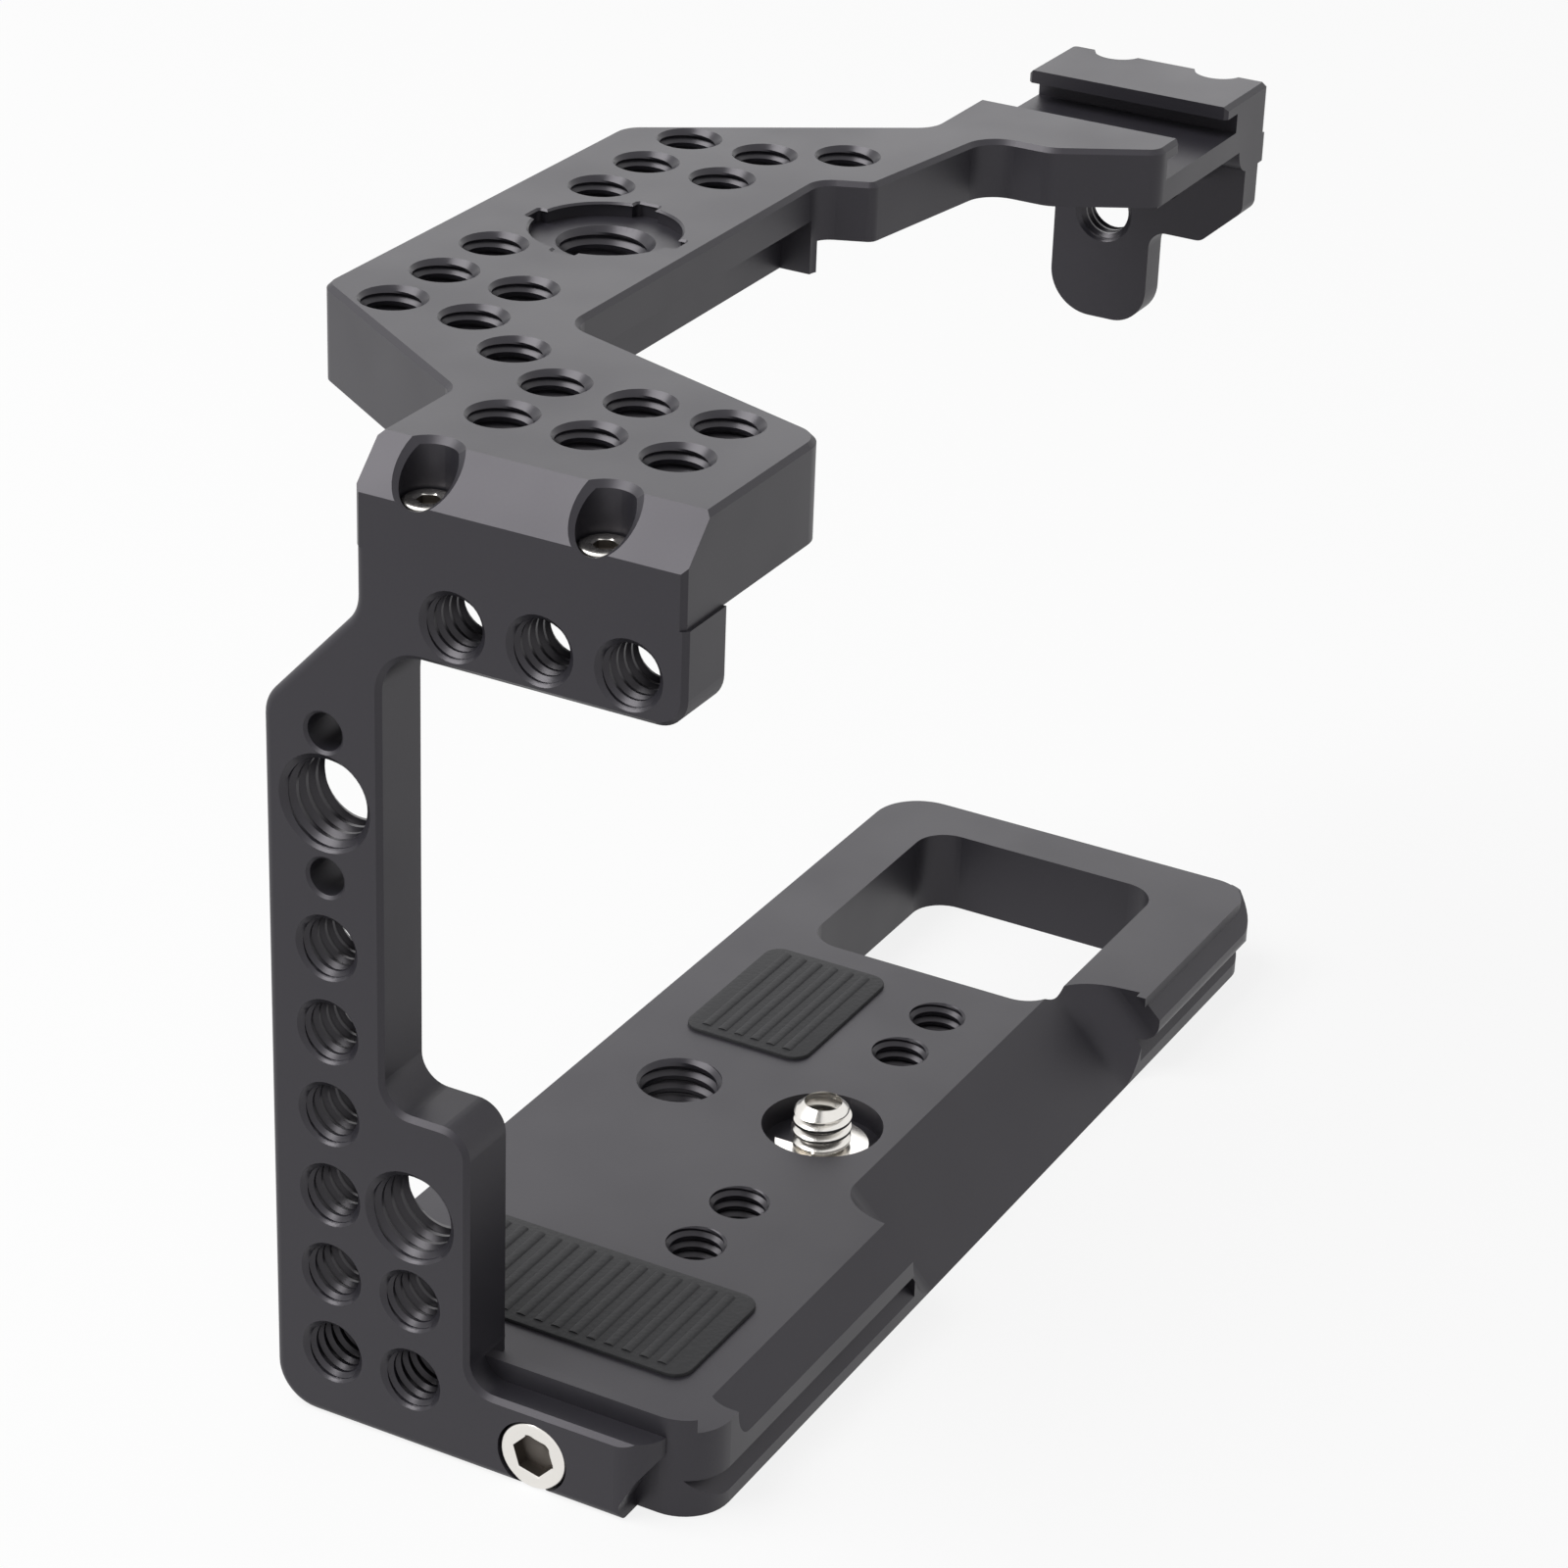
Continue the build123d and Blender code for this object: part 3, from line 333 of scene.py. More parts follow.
def anodised_aluminium(name, colour, grain, roughness, dimple_depth):
    """Aluminium, bead-blasted and then anodised black.

    The dyed oxide is dark and satin: broad soft reflections, no bare metal colour.
    Blasting leaves fine dimples, drawn coarser than real so that they show, and handling
    polishes the surface slightly unevenly, in patches of some 14 mm.
    """
    material, tree, output = new_material(name)
    coords = add_node(tree, "ShaderNodeTexCoord")
    dimples = add_node(
        tree,
        "ShaderNodeTexNoise",
        {"Scale": 1 / grain, "Detail": 3.0, "Roughness": 0.6},
        {"Vector": coords.outputs["Object"]},
    )
    handling = add_node(
        tree,
        "ShaderNodeTexNoise",
        {"Scale": 1 / (14 * MM), "Detail": 2.0},
        {"Vector": coords.outputs["Object"]},
    )
    gloss = add_node(
        tree,
        "ShaderNodeMapRange",
        {
            "From Min": 0.3,
            "From Max": 0.7,
            "To Min": roughness - 0.03,
            "To Max": roughness + 0.03,
        },
        {"Value": handling.outputs["Fac"]},
    )
    shade = add_node(
        tree,
        "ShaderNodeMix",
        {"data_type": "RGBA"},
        {"Factor": dimples.outputs["Fac"]},
    )
    # The two colours of a mix of colours are its inputs 6 and 7, and output 2 is the result
    shade.inputs[6].default_value = (*[c * 0.86 for c in colour], 1)
    shade.inputs[7].default_value = (*[min(1, c * 1.16) for c in colour], 1)
    bump = add_node(
        tree,
        "ShaderNodeBump",
        {"Strength": 0.22, "Distance": dimple_depth},
        {"Height": dimples.outputs["Fac"]},
    )
    shader = add_node(
        tree,
        "ShaderNodeBsdfPrincipled",
        {"Metallic": 0.0, "IOR": 1.5, "Specular Tint": (0.98, 0.94, 1.0, 1)},
        {
            "Base Color": shade.outputs[2],
            "Roughness": gloss.outputs["Result"],
            "Normal": bump.outputs["Normal"],
        },
    )
    tree.links.new(shader.outputs["BSDF"], output.inputs["Surface"])
    return material


def nickel_plate(colour):
    """Steel with a bright nickel plate over turned steel: it mirrors softly.

    The tool marks under the plating are drawn 0.3 mm wide, coarser than real, so that they show.
    """
    material, tree, output = new_material("nickel_plated_steel")
    coords = add_node(tree, "ShaderNodeTexCoord")
    marks = add_node(
        tree,
        "ShaderNodeTexNoise",
        {"Scale": 1 / (0.3 * MM), "Detail": 4.0, "Roughness": 0.65},
        {"Vector": coords.outputs["Object"]},
    )
    gloss = add_node(
        tree,
        "ShaderNodeMapRange",
        {"To Min": 0.16, "To Max": 0.3},
        {"Value": marks.outputs["Fac"]},
    )
    bump = add_node(
        tree,
        "ShaderNodeBump",
        {"Strength": 0.12, "Distance": 0.01 * MM},
        {"Height": marks.outputs["Fac"]},
    )
    shader = add_node(
        tree,
        "ShaderNodeBsdfPrincipled",
        {"Base Color": (*colour, 1), "Metallic": 1.0},
        {"Roughness": gloss.outputs["Result"], "Normal": bump.outputs["Normal"]},
    )
    tree.links.new(shader.outputs["BSDF"], output.inputs["Surface"])
    return material


def painted_shade_socket_steel():
    """Inside of a broached hexagon: the plating hardly reaches it, and its darker, duller grey is also
    painted shade for the depth of the socket.

    The scores of the broach are drawn 0.2 mm wide, coarser than real, so that they show.
    """
    material, tree, output = new_material("painted_shade_socket_steel")
    coords = add_node(tree, "ShaderNodeTexCoord")
    scores = add_node(
        tree,
        "ShaderNodeTexNoise",
        {"Scale": 1 / (0.2 * MM), "Detail": 3.0},
        {"Vector": coords.outputs["Object"]},
    )
    bump = add_node(
        tree,
        "ShaderNodeBump",
        {"Strength": 0.2, "Distance": 0.01 * MM},
        {"Height": scores.outputs["Fac"]},
    )
    # The base colour is darker than the plating: painted shade inside the hexagon
    shader = add_node(
        tree,
        "ShaderNodeBsdfPrincipled",
        {"Base Color": (*linear("#6b6661"), 1), "Metallic": 1.0, "Roughness": 0.42},
        {"Normal": bump.outputs["Normal"]},
    )
    tree.links.new(shader.outputs["BSDF"], output.inputs["Surface"])
    return material


def black_oxide():
    """Steel screws blackened in a hot salt bath: nearly black, a little oily."""
    material, tree, output = new_material("black_oxide_steel")
    coords = add_node(tree, "ShaderNodeTexCoord")
    film = add_node(
        tree,
        "ShaderNodeTexNoise",
        {"Scale": 1 / (0.8 * MM), "Detail": 3.0},
        {"Vector": coords.outputs["Object"]},
    )
    gloss = add_node(
        tree,
        "ShaderNodeMapRange",
        {"To Min": 0.3, "To Max": 0.45},
        {"Value": film.outputs["Fac"]},
    )
    shader = add_node(
        tree,
        "ShaderNodeBsdfPrincipled",
        {"Base Color": (*linear("#2a2a2d"), 1), "Metallic": 0.6},
        {"Roughness": gloss.outputs["Result"]},
    )
    tree.links.new(shader.outputs["BSDF"], output.inputs["Surface"])
    return material


def moulded_rubber(colour):
    """Moulded rubber: matt, with pebbles of half a millimetre from the mould."""
    material, tree, output = new_material("moulded_rubber_black")
    coords = add_node(tree, "ShaderNodeTexCoord")
    pebbles = add_node(
        tree,
        "ShaderNodeTexVoronoi",
        {"Scale": 1 / (0.5 * MM)},
        {"Vector": coords.outputs["Object"]},
    )
    bump = add_node(
        tree,
        "ShaderNodeBump",
        {"Strength": 0.5, "Distance": 0.08 * MM},
        {"Height": pebbles.outputs["Distance"]},
    )
    shader = add_node(
        tree,
        "ShaderNodeBsdfPrincipled",
        {"Base Color": (*colour, 1), "Roughness": 0.72},
        {"Normal": bump.outputs["Normal"]},
    )
    tree.links.new(shader.outputs["BSDF"], output.inputs["Surface"])
    return material


def seen_or_mirrored(tree):
    """1 on rays that show a surface to the camera, straight or through a mirror or glass."""
    path = add_node(tree, "ShaderNodeLightPath")
    seen = path.outputs["Is Camera Ray"]
    for ray in ("Is Glossy Ray", "Is Transmission Ray"):
        either = add_node(tree, "ShaderNodeMath", {"operation": "MAXIMUM"})
        tree.links.new(seen, either.inputs[0])
        tree.links.new(path.outputs[ray], either.inputs[1])
        seen = either.outputs["Value"]
    return seen


def pale_floor():
    """A pale floor that reads almost white where it is seen, and still takes the shadow."""
    material, tree, output = new_material("floor_pale")
    share = add_node(tree, "ShaderNodeMath", {"operation": "MULTIPLY"})
    tree.links.new(seen_or_mirrored(tree), share.inputs[0])
    share.inputs[1].default_value = WHITE_SHARE
    pale = add_node(tree, "ShaderNodeBsdfDiffuse", {"Color": (0.85, 0.85, 0.85, 1)})
    white = add_node(tree, "ShaderNodeEmission", {"Color": (1, 1, 1, 1), "Strength": 1.0})
    mix = add_node(
        tree,
        "ShaderNodeMixShader",
        {},
        {"Fac": share.outputs["Value"], 1: pale.outputs["BSDF"], 2: white.outputs["Emission"]},
    )
    tree.links.new(mix.outputs["Shader"], output.inputs["Surface"])
    return material


def studio_world():
    """Soft even light from all round, behind a white backdrop."""
    world = bpy.data.worlds.new("studio")
    world.use_nodes = True
    tree = world.node_tree
    tree.nodes.clear()
    output = tree.nodes.new("ShaderNodeOutputWorld")
    soft = add_node(tree, "ShaderNodeBackground", {"Color": (1, 1, 1, 1), "Strength": 0.25})
    white = add_node(tree, "ShaderNodeBackground", {"Color": (1, 1, 1, 1), "Strength": 1.0})
    mix = add_node(
        tree,
        "ShaderNodeMixShader",
        {},
        {
            "Fac": seen_or_mirrored(tree),
            1: soft.outputs["Background"],
            2: white.outputs["Background"],
        },
    )
    tree.links.new(mix.outputs["Shader"], output.inputs["Surface"])
    return world


def dress(nodes, material):
    """Gives CAD nodes their finish."""
    for node in nodes:
        for material_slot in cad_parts[node].material_slots:
            material_slot.material = material


# ---- meshes ----------------------------------------------------------------------


def new_piece(name, mesh_code, materials, body, replaced=(), crisp=35):
    """Makes an object of a bmesh and lets it ride on a body.

    It is shaded smooth, apart from edges that turn by more than crisp degrees.
    """
    mesh = bpy.data.meshes.new(name)
    mesh_code.to_mesh(mesh)
    mesh_code.free()
    mesh.shade_smooth()
    mesh.set_sharp_from_angle(angle=radians(crisp))
    for material in materials:
        mesh.materials.append(material)
    piece = bpy.data.objects.new(name, mesh)
    bpy.context.scene.collection.objects.link(piece)
    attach(piece, body)
    if replaced:
        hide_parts(*replaced)
    return piece


def axis_frame(place, direction):
    """Matrix whose Z axis runs along a direction from a place given in millimetres."""
    turn = Vector(direction).to_track_quat("Z", "Y").to_matrix().to_4x4()
    return Matrix.Translation(Vector(place) * MM) @ turn


def wrapped_faces(bm, lower, upper):
    """Faces between two closed rings of as many points; returns them."""
    faces = []
    for step in range(len(lower)):
        after = (step + 1) % len(lower)
        faces.append(bm.faces.new((lower[step], lower[after], upper[after], upper[step])))
    return faces


# Shares of the pitch and the ridge's height there: crest, flank, root, flank
THREAD_PROFILE = ((0.0, 1.0), (0.25, 1.0), (0.41, 0.5), (0.5625, 0.0), (0.6875, 0.0), (0.84, 0.5))


def helix_grid(bm, matrix, pitch, length, radius_at, segments, outwards):
    """Surface of a thread: rows of points climb one pitch in a turn.

    radius_at(height, depth, raw) gives the radius for a height of the ridge, from 0 at the root
    to 1 at the crest, a depth from the mouth, and that depth before it was held to the hole.
    """
    count = len(THREAD_PROFILE)
    turns = ceil(length / pitch) + 2
    rows = []
    for row in range(count * turns):
        share, ridge = THREAD_PROFILE[row % count]
        start = pitch * (row // count - 1 + share)
        ring = []
        for step in range(segments):
            raw = start + pitch * step / segments
            depth = min(max(raw, 0.0), length)
            radius = radius_at(ridge, depth, raw)
            angle = 2 * pi * step / segments
            spot = matrix @ Vector((radius * cos(angle), radius * sin(angle), depth))
            ring.append((bm.verts.new(spot), depth))
        rows.append(ring)
    for row in range(count * (turns - 1) - 1):
        for step in range(segments):
            after = (step + 1) % segments
            lift = count if after == 0 else 0
            corners = [
                rows[row][step],
                rows[row + lift][after],
                rows[row + lift + 1][after],
                rows[row + 1][step],
            ]
            depths = [depth for _, depth in corners]
            # Faces from beyond either end of the hole were held flat there and aren't made
            if max(depths) - min(depths) < 1e-7:
                continue
            verts = [vert for vert, _ in corners]
            bm.faces.new(verts if outwards else verts[::-1])
    loose = [vert for vert in bm.verts if not vert.link_faces]
    bmesh.ops.delete(bm, geom=loose, context="VERTS")


def cut_thread(bm, place, inwards, length, root, crest, pitch, rim, segments, start=0.0):
    """Internal thread of a hole: its first and last turns are cut back by 45 degree mouths.

    start turns the thread round its axis, in radians.
    """
    mouth = rim - MOUTH_SKIN * MM

    def radius_at(height, depth, raw):
        if raw <= 0:
            return mouth
        if raw >= length:
            return root + THREAD_END * MM
        return max(root + (crest - root) * height, mouth - depth, root - (length - depth))

    matrix = axis_frame(place, inwards) @ Matrix.Rotation(start, 4, "Z")
    helix_grid(bm, matrix, pitch, length, radius_at, segments, False)


def rolled_thread(bm, place, direction, length, root, crest, pitch, tip, segments):
    """External thread of a screw, ending in a chamfered tip."""

    def radius_at(height, depth, raw):
        if raw <= 0:
            return root
        if raw >= length:
            return root - tip
        return min(root + (crest - root) * height, root + (length - depth) - tip)

    helix_grid(bm, axis_frame(place, direction), pitch, length, radius_at, segments, True)


def recess_outline():
    """Mouth of the locating recess, a circle with four notches, anticlockwise round its centre."""
    half = NOTCH_WIDTH / 2
    outer = RECESS_R + NOTCH_REACH
    meet = asin(half / RECESS_R)
    part = [(RECESS_R * cos(meet), -half)]
    for side, first in ((-1, -90), (1, 0)):
        for step in range(5):
            angle = radians(first + 90 * step / 4)
            x = outer - NOTCH_CORNER + NOTCH_CORNER * cos(angle)
            part.append((x, side * (half - NOTCH_CORNER) + NOTCH_CORNER * sin(angle)))
    for step in range(16):
        angle = meet + (pi / 2 - 2 * meet) * step / 16
        part.append((RECESS_R * cos(angle), RECESS_R * sin(angle)))
    outline = []
    for quarter in range(4):
        turn = Matrix.Rotation(quarter * pi / 2, 2)
        outline += [turn @ Vector(point) for point in part]
    return outline


def broken_edge(bm, outline, centre, top, reach):
    """Narrow 45 degree face round the mouth of a recess, on a back that lies on its wall."""
    inwards = []
    for index, point in enumerate(outline):
        before = (point - outline[index - 1]).normalized()
        after = (outline[(index + 1) % len(outline)] - point).normalized()
        normals = [Vector((-side.y, side.x)) for side in (before, after)]
        inwards.append((normals[0] + normals[1]) / (1 + normals[0].dot(normals[1])))
    loops = []
    for inset, drop in ((0.0, 0.02 * reach), (reach, reach), (0.0, 1.1 * reach)):
        loop = []
        for point, inward in zip(outline, inwards):
            spot = centre + point + inward * inset
            loop.append(bm.verts.new(Vector((*spot, top - drop)) * MM))
        loops.append(loop)
    for lower, upper in zip(loops, loops[1:] + loops[:1]):
        wrapped_faces(bm, lower, upper)
    bmesh.ops.recalc_face_normals(bm, faces=bm.faces)


def socket_screw(bm, place, direction, head, height, hexagon, shank, length, turn=0.0):
    """Socket screw from its tip to the floor of its hexagon, edges rounded as turned steel is.

    The rings of its skin are closed one by one, and those inside the hexagon take the second material, a
    darker steel painted as the shade in the socket. turn is how far it was tightened past the first
    place of its hexagon, in radians.
    """

    def six_sided(angle):
        return hexagon / 2 / cos(angle % (pi / 3) - pi / 6)

    edge = 0.1 * head
    rings = [
        (-length, shank * 0.7),
        (-length + shank * 0.3, shank),
        (0.0, shank),
        (0.0, head - edge / 3),
        (edge / 3, head),
        (height - edge, head),
        (height - 0.55 * edge, head - 0.14 * edge),
        (height - 0.16 * edge, head - 0.5 * edge),
        (height, head - edge),
        (height, hexagon * 0.6),
        (height - 0.04 * hexagon, six_sided),
        (height - 0.4 * hexagon, six_sided),
        (height - 0.4 * hexagon, hexagon * 0.42),
        (height - 0.52 * hexagon, hexagon * 0.02),
    ]
    # Rings from this one inward take the darker steel, painted shade in the hexagon
    first_painted_shade = 10
    segments = 48
    matrix = axis_frame(place, direction) @ Matrix.Rotation(turn, 4, "Z")
    loops = []
    for level, radius in rings:
        loop = []
        for step in range(segments):
            angle = 2 * pi * step / segments
            reach = radius(angle) if callable(radius) else radius
            loop.append(bm.verts.new(matrix @ Vector((reach * cos(angle), reach * sin(angle), level))))
        loops.append(loop)
    for number, (lower, upper) in enumerate(zip(loops, loops[1:])):
        for face in wrapped_faces(bm, lower, upper):
            face.material_index = int(number >= first_painted_shade)
    bm.faces.new(loops[0][::-1])
    # The floor of the hexagon takes the darker steel too, as painted shade
    bm.faces.new(loops[-1]).material_index = 1


def wire(bm, points, radius, segments):
    """Round wire along points in a level plane, closed at both ends."""
    loops = []
    for index, point in enumerate(points):
        before = points[max(index - 1, 0)]
        after = points[min(index + 1, len(points) - 1)]
        along = (after - before).normalized()
        side = along.cross(Vector((0, 0, 1)))
        loop = []
        for step in range(segments):
            angle = 2 * pi * step / segments
            spot = point + side * radius * cos(angle) + Vector((0, 0, radius * sin(angle)))
            loop.append(bm.verts.new(spot))
        loops.append(loop)
    for first, second in zip(loops, loops[1:]):
        wrapped_faces(bm, first, second)
    bm.faces.new(loops[0][::-1])
    bm.faces.new(loops[-1])
    bmesh.ops.recalc_face_normals(bm, faces=bm.faces)


def bend_points(side):
    """Quarter bend of the ring's wire, from its pin on that side (-1 or 1) up into the bow."""
    points = []
    for step in range(7):
        angle = radians(90 * step / 6)
        x = RING_R - RING_BEND_R + RING_BEND_R * sin(angle)
        points.append(Vector((side * x, RING_BEND_R - RING_BEND_R * cos(angle), 0)))
    return points


def ring_path():
    """Middle line of the folding ring, from the tip of one pin round the bow to the other."""
    points = [Vector((-RING_PIN_END, 0, 0))]
    points += bend_points(-1)
    for step in range(33):
        angle = pi - RING_BOW - (pi - 2 * RING_BOW) * step / 32
        points.append(Vector((RING_R * cos(angle), RING_R * sin(angle), 0)))
    points += bend_points(1)[::-1]
    points.append(Vector((RING_PIN_END, 0, 0)))
    return points


def ribbed_pad(bm, low, high, corner, rib_pitch):
    """Rubber pad with a softened edge and raised ribs across its width."""
    skin = high.z - RIB_RISE * MM
    outline = []
    for centre_x, centre_y, start in (
        (high.x - corner, high.y - corner, 0),
        (low.x + corner, high.y - corner, 90),
        (low.x + corner, low.y + corner, 180),
        (high.x - corner, low.y + corner, 270),
    ):
        for step in range(9):
            angle = radians(start + 90 * step / 8)
            outline.append((centre_x, centre_y, cos(angle), sin(angle)))
    loops = []
    for drop, inset in ((skin - low.z, 0.0), (0.12 * MM, 0.0), (0.03 * MM, 0.05 * MM), (0.0, 0.15 * MM)):
        reach = corner - inset
        loops.append(
            [bm.verts.new((x + reach * c, y + reach * s, skin - drop)) for x, y, c, s in outline]
        )
    for lower, upper in zip(loops, loops[1:]):
        wrapped_faces(bm, lower, upper)
    bm.faces.new(loops[0][::-1])
    bm.faces.new(loops[-1])
    margin = PAD_MARGIN * MM
    count = int((high.y - low.y - 2 * margin) / rib_pitch)
    first = (low.y + high.y - rib_pitch * (count - 1)) / 2
    half = rib_pitch * RIB_SHARE / 2
    arc = [radians(180 * step / 6) for step in range(7)]
    for index in range(count):
        middle = first + rib_pitch * index
        crown = [(middle + half * cos(a), skin + (RIB_RISE * sin(a) - RIB_SINK) * MM) for a in arc]
        ends = [
            [bm.verts.new((x, y, z)) for y, z in crown] for x in (low.x + margin, high.x - margin)
        ]
        for step in range(6):
            bm.faces.new((ends[0][step], ends[1][step], ends[1][step + 1], ends[0][step + 1]))
        bm.faces.new(ends[0])
        bm.faces.new(ends[1][::-1])
    bmesh.ops.recalc_face_normals(bm, faces=bm.faces)


# ---- threads of each plate ---------------------------------------------------------


def top_plate_threads(small, large):
    """Threads of the two front rows, the left grid, the corners and the recess."""
    front = [LEFT_ROW_X - PITCH * i for i in (1, 2, 3)]
    front += [RIGHT_ROW_X + PITCH * i for i in (1, 2, 3)]
    spots = [(x, FRONT_ROW_Y) for x in front]
    # The second row leaves out the two holes that would run into the recess
    spots += [(x, FRONT_ROW_Y - PITCH) for x in (*front[1:3], *front[4:6])]
    spots += [(LEFT_GRID[0] + PITCH * i, LEFT_GRID[1] - PITCH * j) for i in (0, 1) for j in (0, 1, 2)]
    spots += CORNER_HOLES
    bm = bmesh.new()
    for x, y in spots:
        depth = BRIDGE_THICK if x < BRIDGE_RIGHT else ARM_THICK
        cut_thread(bm, (x, y, TOP_FACE), (0, 0, -1), depth * MM, **small, start=TAP_START)
    floor = (*RECESS, TOP_FACE - RECESS_DEPTH)
    depth = BRIDGE_THICK - RECESS_DEPTH
    cut_thread(bm, floor, (0, 0, -1), depth * MM, **large, start=TAP_START)
    return bm


def side_plate_threads(small, large):
    """Threads of the two columns, the row in the upper block and the large holes."""
    spots = [(COLUMN_1_Y, FIRST_HOLE_Z + PITCH * i) for i in range(6)]
    spots += [(COLUMN_2_Y, FIRST_HOLE_Z + PITCH * i) for i in range(2)]
    spots += [(BLOCK_ROW[0] - PITCH * i, BLOCK_ROW[1]) for i in range(3)]
    bm = bmesh.new()
    for spot in spots:
        cut_thread(bm, (SIDE_FACE, *spot), (1, 0, 0), SIDE_THICK * MM, **small)
    for spot in SIDE_LARGE:
        cut_thread(bm, (SIDE_FACE, *spot), (1, 0, 0), SIDE_THICK * MM, **large)
    return bm


def base_plate_threads(small, large):
    """Threads from the underside: two pairs, without mouths, and the large hole."""
    bm = bmesh.new()
    plain = {**small, "rim": small["root"]}
    for side in (-1, 1):
        for i in (0, 1):
            x = side * (UNDER_QUARTER_X + PITCH * i)
            cut_thread(bm, (x, 0, 0), (0, 0, 1), BASE_THICK * MM, **plain)
    cut_thread(bm, (0, UNDER_LARGE_Y, 0), (0, 0, 1), BASE_THICK * MM, **large)
    return bm


# ---- operators -------------------------------------------------------------------


class CAGE_OT_plates(bpy.types.Operator):
    """Finish the four machined plates"""

    bl_idname = "cage.plates"
    bl_label = "Anodise the plates"

    def execute(self, context):
        finish = context.scene.cage_finish
        blasted = anodised_aluminium(
            "anodised_aluminium_black",
            tuple(finish.anodised),
            finish.blast_grain,
            roughness=0.43,
            dimple_depth=0.02 * MM,
        )
        dress(("top_plate", "side_plate", "base_plate", "handle_lug"), blasted)
        return {"FINISHED"}


class CAGE_OT_threads(bpy.types.Operator):
    """Cut the threads into the holes of the plates, and break the recess's edge"""

    bl_idname = "cage.threads"
    bl_label = "Cut the threads"

    def execute(self, context):
        sizes = context.scene.cage_threads
        finish = context.scene.cage_finish
        # Threads and mouths are cut, not blasted, so they shine more under the dye. The marks
        # of the tool are drawn 0.4 mm wide, coarser than real, so that they show.
        cut = anodised_aluminium(
            "anodised_aluminium_cut",
            tuple(finish.anodised),
            grain=0.4 * MM,
            roughness=0.32,
            dimple_depth=0.006 * MM,
        )
        small = {
            "root": sizes.small_root,
            "crest": sizes.small_crest,
            "pitch": sizes.small_pitch,
            "rim": sizes.small_rim,
            "segments": 36,
        }
        large = {
            "root": sizes.large_root,
            "crest": sizes.large_crest,
            "pitch": sizes.large_pitch,
            "rim": sizes.large_rim,
            "segments": 48,
        }
        edge = bmesh.new()
        broken_edge(edge, recess_outline(), Vector(RECESS), TOP_FACE, EDGE_BREAK)
        new_piece("top_plate_recess_edge", edge, (cut,), "cage")
        lug = bmesh.new()
        cut_thread(lug, (LUG_FACE, *LUG_HOLE), (1, 0, 0), LUG_THICK * MM, **small)
        for name, threads in (
            ("top_plate_threads", top_plate_threads(small, large)),
            ("side_plate_threads", side_plate_threads(small, large)),
            ("base_plate_threads", base_plate_threads(small, large)),
            ("handle_lug_thread", lug),
        ):
            new_piece(name, threads, (cut,), "cage", crisp=18)
        return {"FINISHED"}


class CAGE_OT_screws(bpy.types.Operator):
    """Fit the bright socket screws and finish the small steel parts"""

    bl_idname = "cage.screws"
    bl_label = "Fit the screws"

    def execute(self, context):
        sizes = context.scene.cage_screws
        nickel = nickel_plate(tuple(context.scene.cage_finish.nickel))
        # The second finish is a darker steel, painted shade inside the screws' hexagons
        nickel_and_painted_shade = (nickel, painted_shade_socket_steel())
        top = bmesh.new()
        for y in TOP_SCREW_Y:
            socket_screw(
                top,
                (TOP_SCREW_X, y, TOP_SEAT),
                (0, 0, 1),
                head=sizes.top_head,
                height=sizes.top_head_height,
                hexagon=sizes.top_hexagon,
                shank=TOP_SHANK_R * MM,
                length=TOP_SHANK_LENGTH * MM,
            )
        new_piece("top_joint_screws_turned", top, nickel_and_painted_shade, "cage", ["top_joint_screws"])
        foot = bmesh.new()
        socket_screw(
            foot,
            (FOOT_SEAT, *FOOT_SCREW),
            (-1, 0, 0),
            head=sizes.foot_head,
            height=sizes.foot_head_height,
            hexagon=sizes.foot_hexagon,
            shank=FOOT_SHANK_R * MM,
            length=FOOT_SHANK_LENGTH * MM,
            turn=FOOT_SCREW_TURN,
        )
        new_piece("foot_screw_turned", foot, nickel_and_painted_shade, "cage", ["foot_screw"])
        dress(("top_joint_dowel", "foot_dowels", "camera_screw_retainer"), nickel)
        dress(("lug_screws",), black_oxide())
        return {"FINISHED"}


class CAGE_OT_camera_screw(bpy.types.Operator):
    """Thread the camera screw and bend its ring from round wire"""

    bl_idname = "cage.camera_screw"
    bl_label = "Fit the camera screw"

    def execute(self, context):
        nickel = nickel_plate(tuple(context.scene.cage_finish.nickel))
        screw = bmesh.new()
        screw.from_mesh(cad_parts["camera_screw"].data)
        shank = [
            face
            for face in screw.faces
            if face.calc_center_median().z > SCREW_NECK_TOP * MM
            and all(vert.co.xy.length < SCREW_REACH * MM for vert in face.verts)
        ]
        bmesh.ops.delete(screw, geom=shank, context="FACES")
        rolled_thread(
            screw,
            (0, 0, SCREW_NECK_TOP),
            (0, 0, 1),
            length=(SCREW_TIP - SCREW_NECK_TOP) * MM,
            root=SCREW_ROOT_R * MM,
            crest=SCREW_CREST_R * MM,
            pitch=context.scene.cage_threads.small_pitch,
            tip=SCREW_TIP_CHAMFER * MM,
            segments=48,
        )
        new_piece("camera_screw_rolled", screw, (nickel,), "screw", ["camera_screw"])

        ring = bmesh.new()
        lift = Vector((0, 0, RING_Z))
        path = [(point + lift) * MM for point in ring_path()]
        wire(ring, path, context.scene.cage_screws.ring_wire, segments=16)
        new_piece("camera_screw_ring_wire", ring, (nickel,), "ring", ["camera_screw_ring"])
        return {"FINISHED"}


class CAGE_OT_pads(bpy.types.Operator):
    """Mould the ribbed rubber pads"""

    bl_idname = "cage.pads"
    bl_label = "Lay the pads"

    def execute(self, context):
        rubber = moulded_rubber(tuple(context.scene.cage_finish.rubber))
        for node in ("base_pad_left", "base_pad_right"):
            low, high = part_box(node)
            pad = bmesh.new()
            ribbed_pad(pad, Vector(low), Vector(high), PAD_CORNER_R * MM, RIB_PITCH * MM)
            new_piece(node + "_ribbed", pad, (rubber,), "cage", [node])
        return {"FINISHED"}


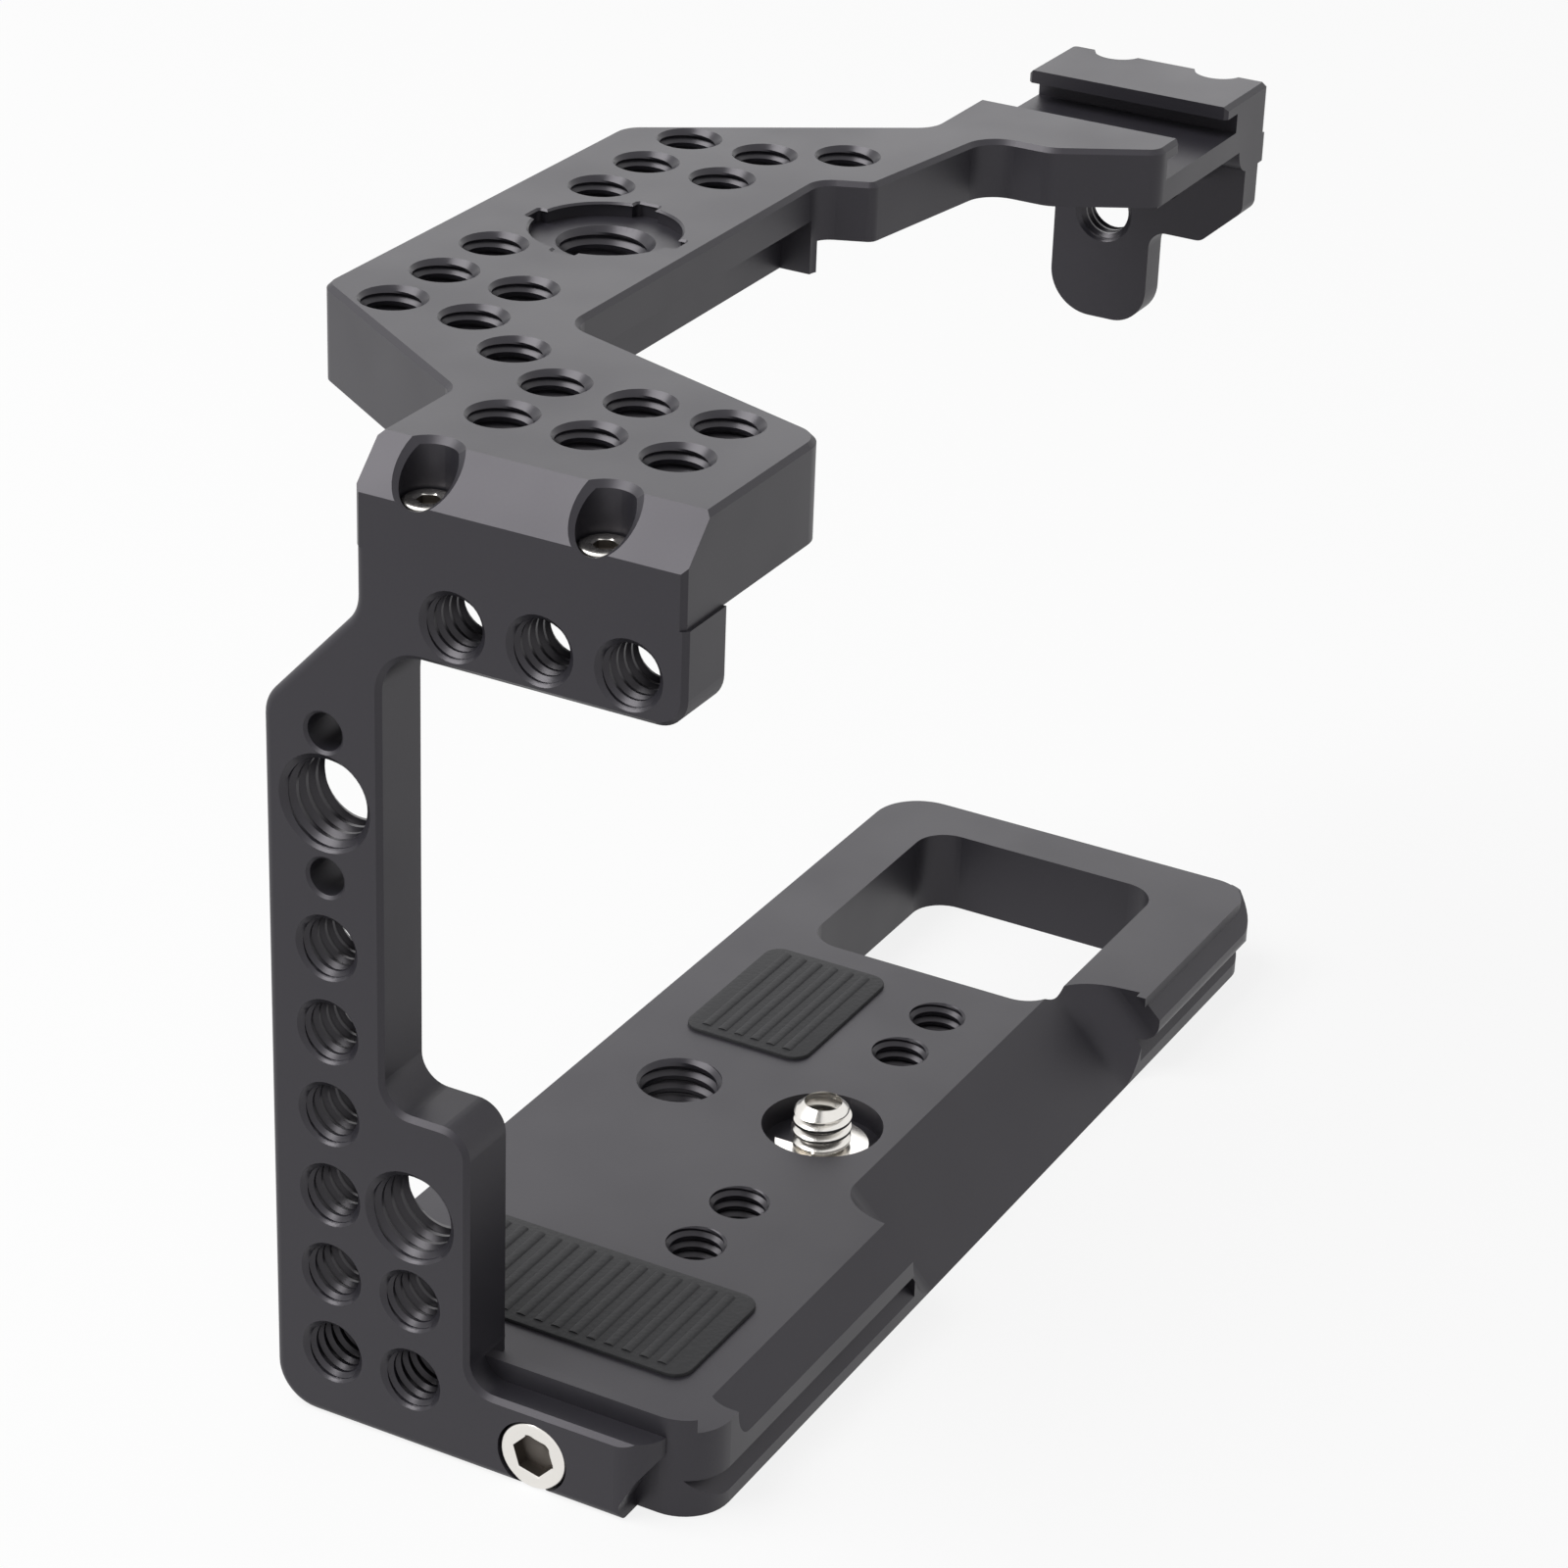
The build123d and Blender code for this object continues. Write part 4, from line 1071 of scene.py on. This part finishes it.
class CAGE_OT_stage(bpy.types.Operator):
    """Lay the pale floor, hang the soft lamps and set the camera"""

    bl_idname = "cage.stage"
    bl_label = "Set the stage"

    def execute(self, context):
        stage = context.scene.cage_stage
        scene = context.scene
        half = stage.floor_size / 2
        floor_z = CAD_BOX[0].z - FLOOR_DROP
        mesh = bpy.data.meshes.new("floor")
        corners = [(-half, -half), (half, -half), (half, half), (-half, half)]
        mesh.from_pydata([(x, y, floor_z) for x, y in corners], [], [(0, 1, 2, 3)])
        mesh.materials.append(pale_floor())
        floor = bpy.data.objects.new("floor", mesh)
        scene.collection.objects.link(floor)

        scene.world = studio_world()
        for name, place, aim, size, power in LAMPS:
            light = bpy.data.lights.new(name, "AREA")
            light.shape = "SQUARE"
            light.size = size
            light.energy = power
            lamp = bpy.data.objects.new(name, light)
            lamp.location = place
            lamp.rotation_mode = "QUATERNION"
            lamp.rotation_quaternion = (Vector(aim) - Vector(place)).to_track_quat("-Z", "Y")
            scene.collection.objects.link(lamp)

        lens = bpy.data.cameras.new("camera")
        lens.sensor_width = 36
        lens.lens = stage.lens
        camera = bpy.data.objects.new("camera", lens)
        back = -CAMERA_RIGHT.cross(CAMERA_DOWN)
        turn = Matrix((CAMERA_RIGHT, -CAMERA_DOWN, back)).transposed()
        camera.matrix_world = Matrix.Translation(Vector(stage.camera_place)) @ turn.to_4x4()
        scene.collection.objects.link(camera)
        scene.camera = camera
        scene.view_settings.view_transform = "Standard"
        return {"FINISHED"}


class CAGE_PT_panel(bpy.types.Panel):
    """The cage's operators and sizes"""

    bl_label = "Camera cage"
    bl_idname = "CAGE_PT_panel"
    bl_space_type = "VIEW_3D"
    bl_region_type = "UI"
    bl_category = "Camera cage"

    def draw(self, context):
        column = self.layout.column()
        for group_name in GROUPS:
            group = getattr(context.scene, group_name)
            for name in group.__annotations__:
                column.prop(group, name)
        for operator in OPERATORS:
            column.operator(operator.bl_idname)


GROUPS = {
    "cage_finish": CageFinish,
    "cage_threads": CageThreads,
    "cage_screws": CageScrews,
    "cage_stage": CageStage,
}
OPERATORS = (
    CAGE_OT_plates,
    CAGE_OT_threads,
    CAGE_OT_screws,
    CAGE_OT_camera_screw,
    CAGE_OT_pads,
    CAGE_OT_stage,
)
CLASSES = (*GROUPS.values(), *OPERATORS, CAGE_PT_panel)


def register():
    for cls in CLASSES:
        bpy.utils.register_class(cls)
    for name, group in GROUPS.items():
        setattr(bpy.types.Scene, name, bpy.props.PointerProperty(type=group))


def unregister():
    for name in GROUPS:
        delattr(bpy.types.Scene, name)
    for cls in reversed(CLASSES):
        bpy.utils.unregister_class(cls)


def main():
    register()
    bpy.ops.cage.plates()
    bpy.ops.cage.threads()
    bpy.ops.cage.screws()
    bpy.ops.cage.camera_screw()
    bpy.ops.cage.pads()
    bpy.ops.cage.stage()


if __name__ == "__main__":
    main()
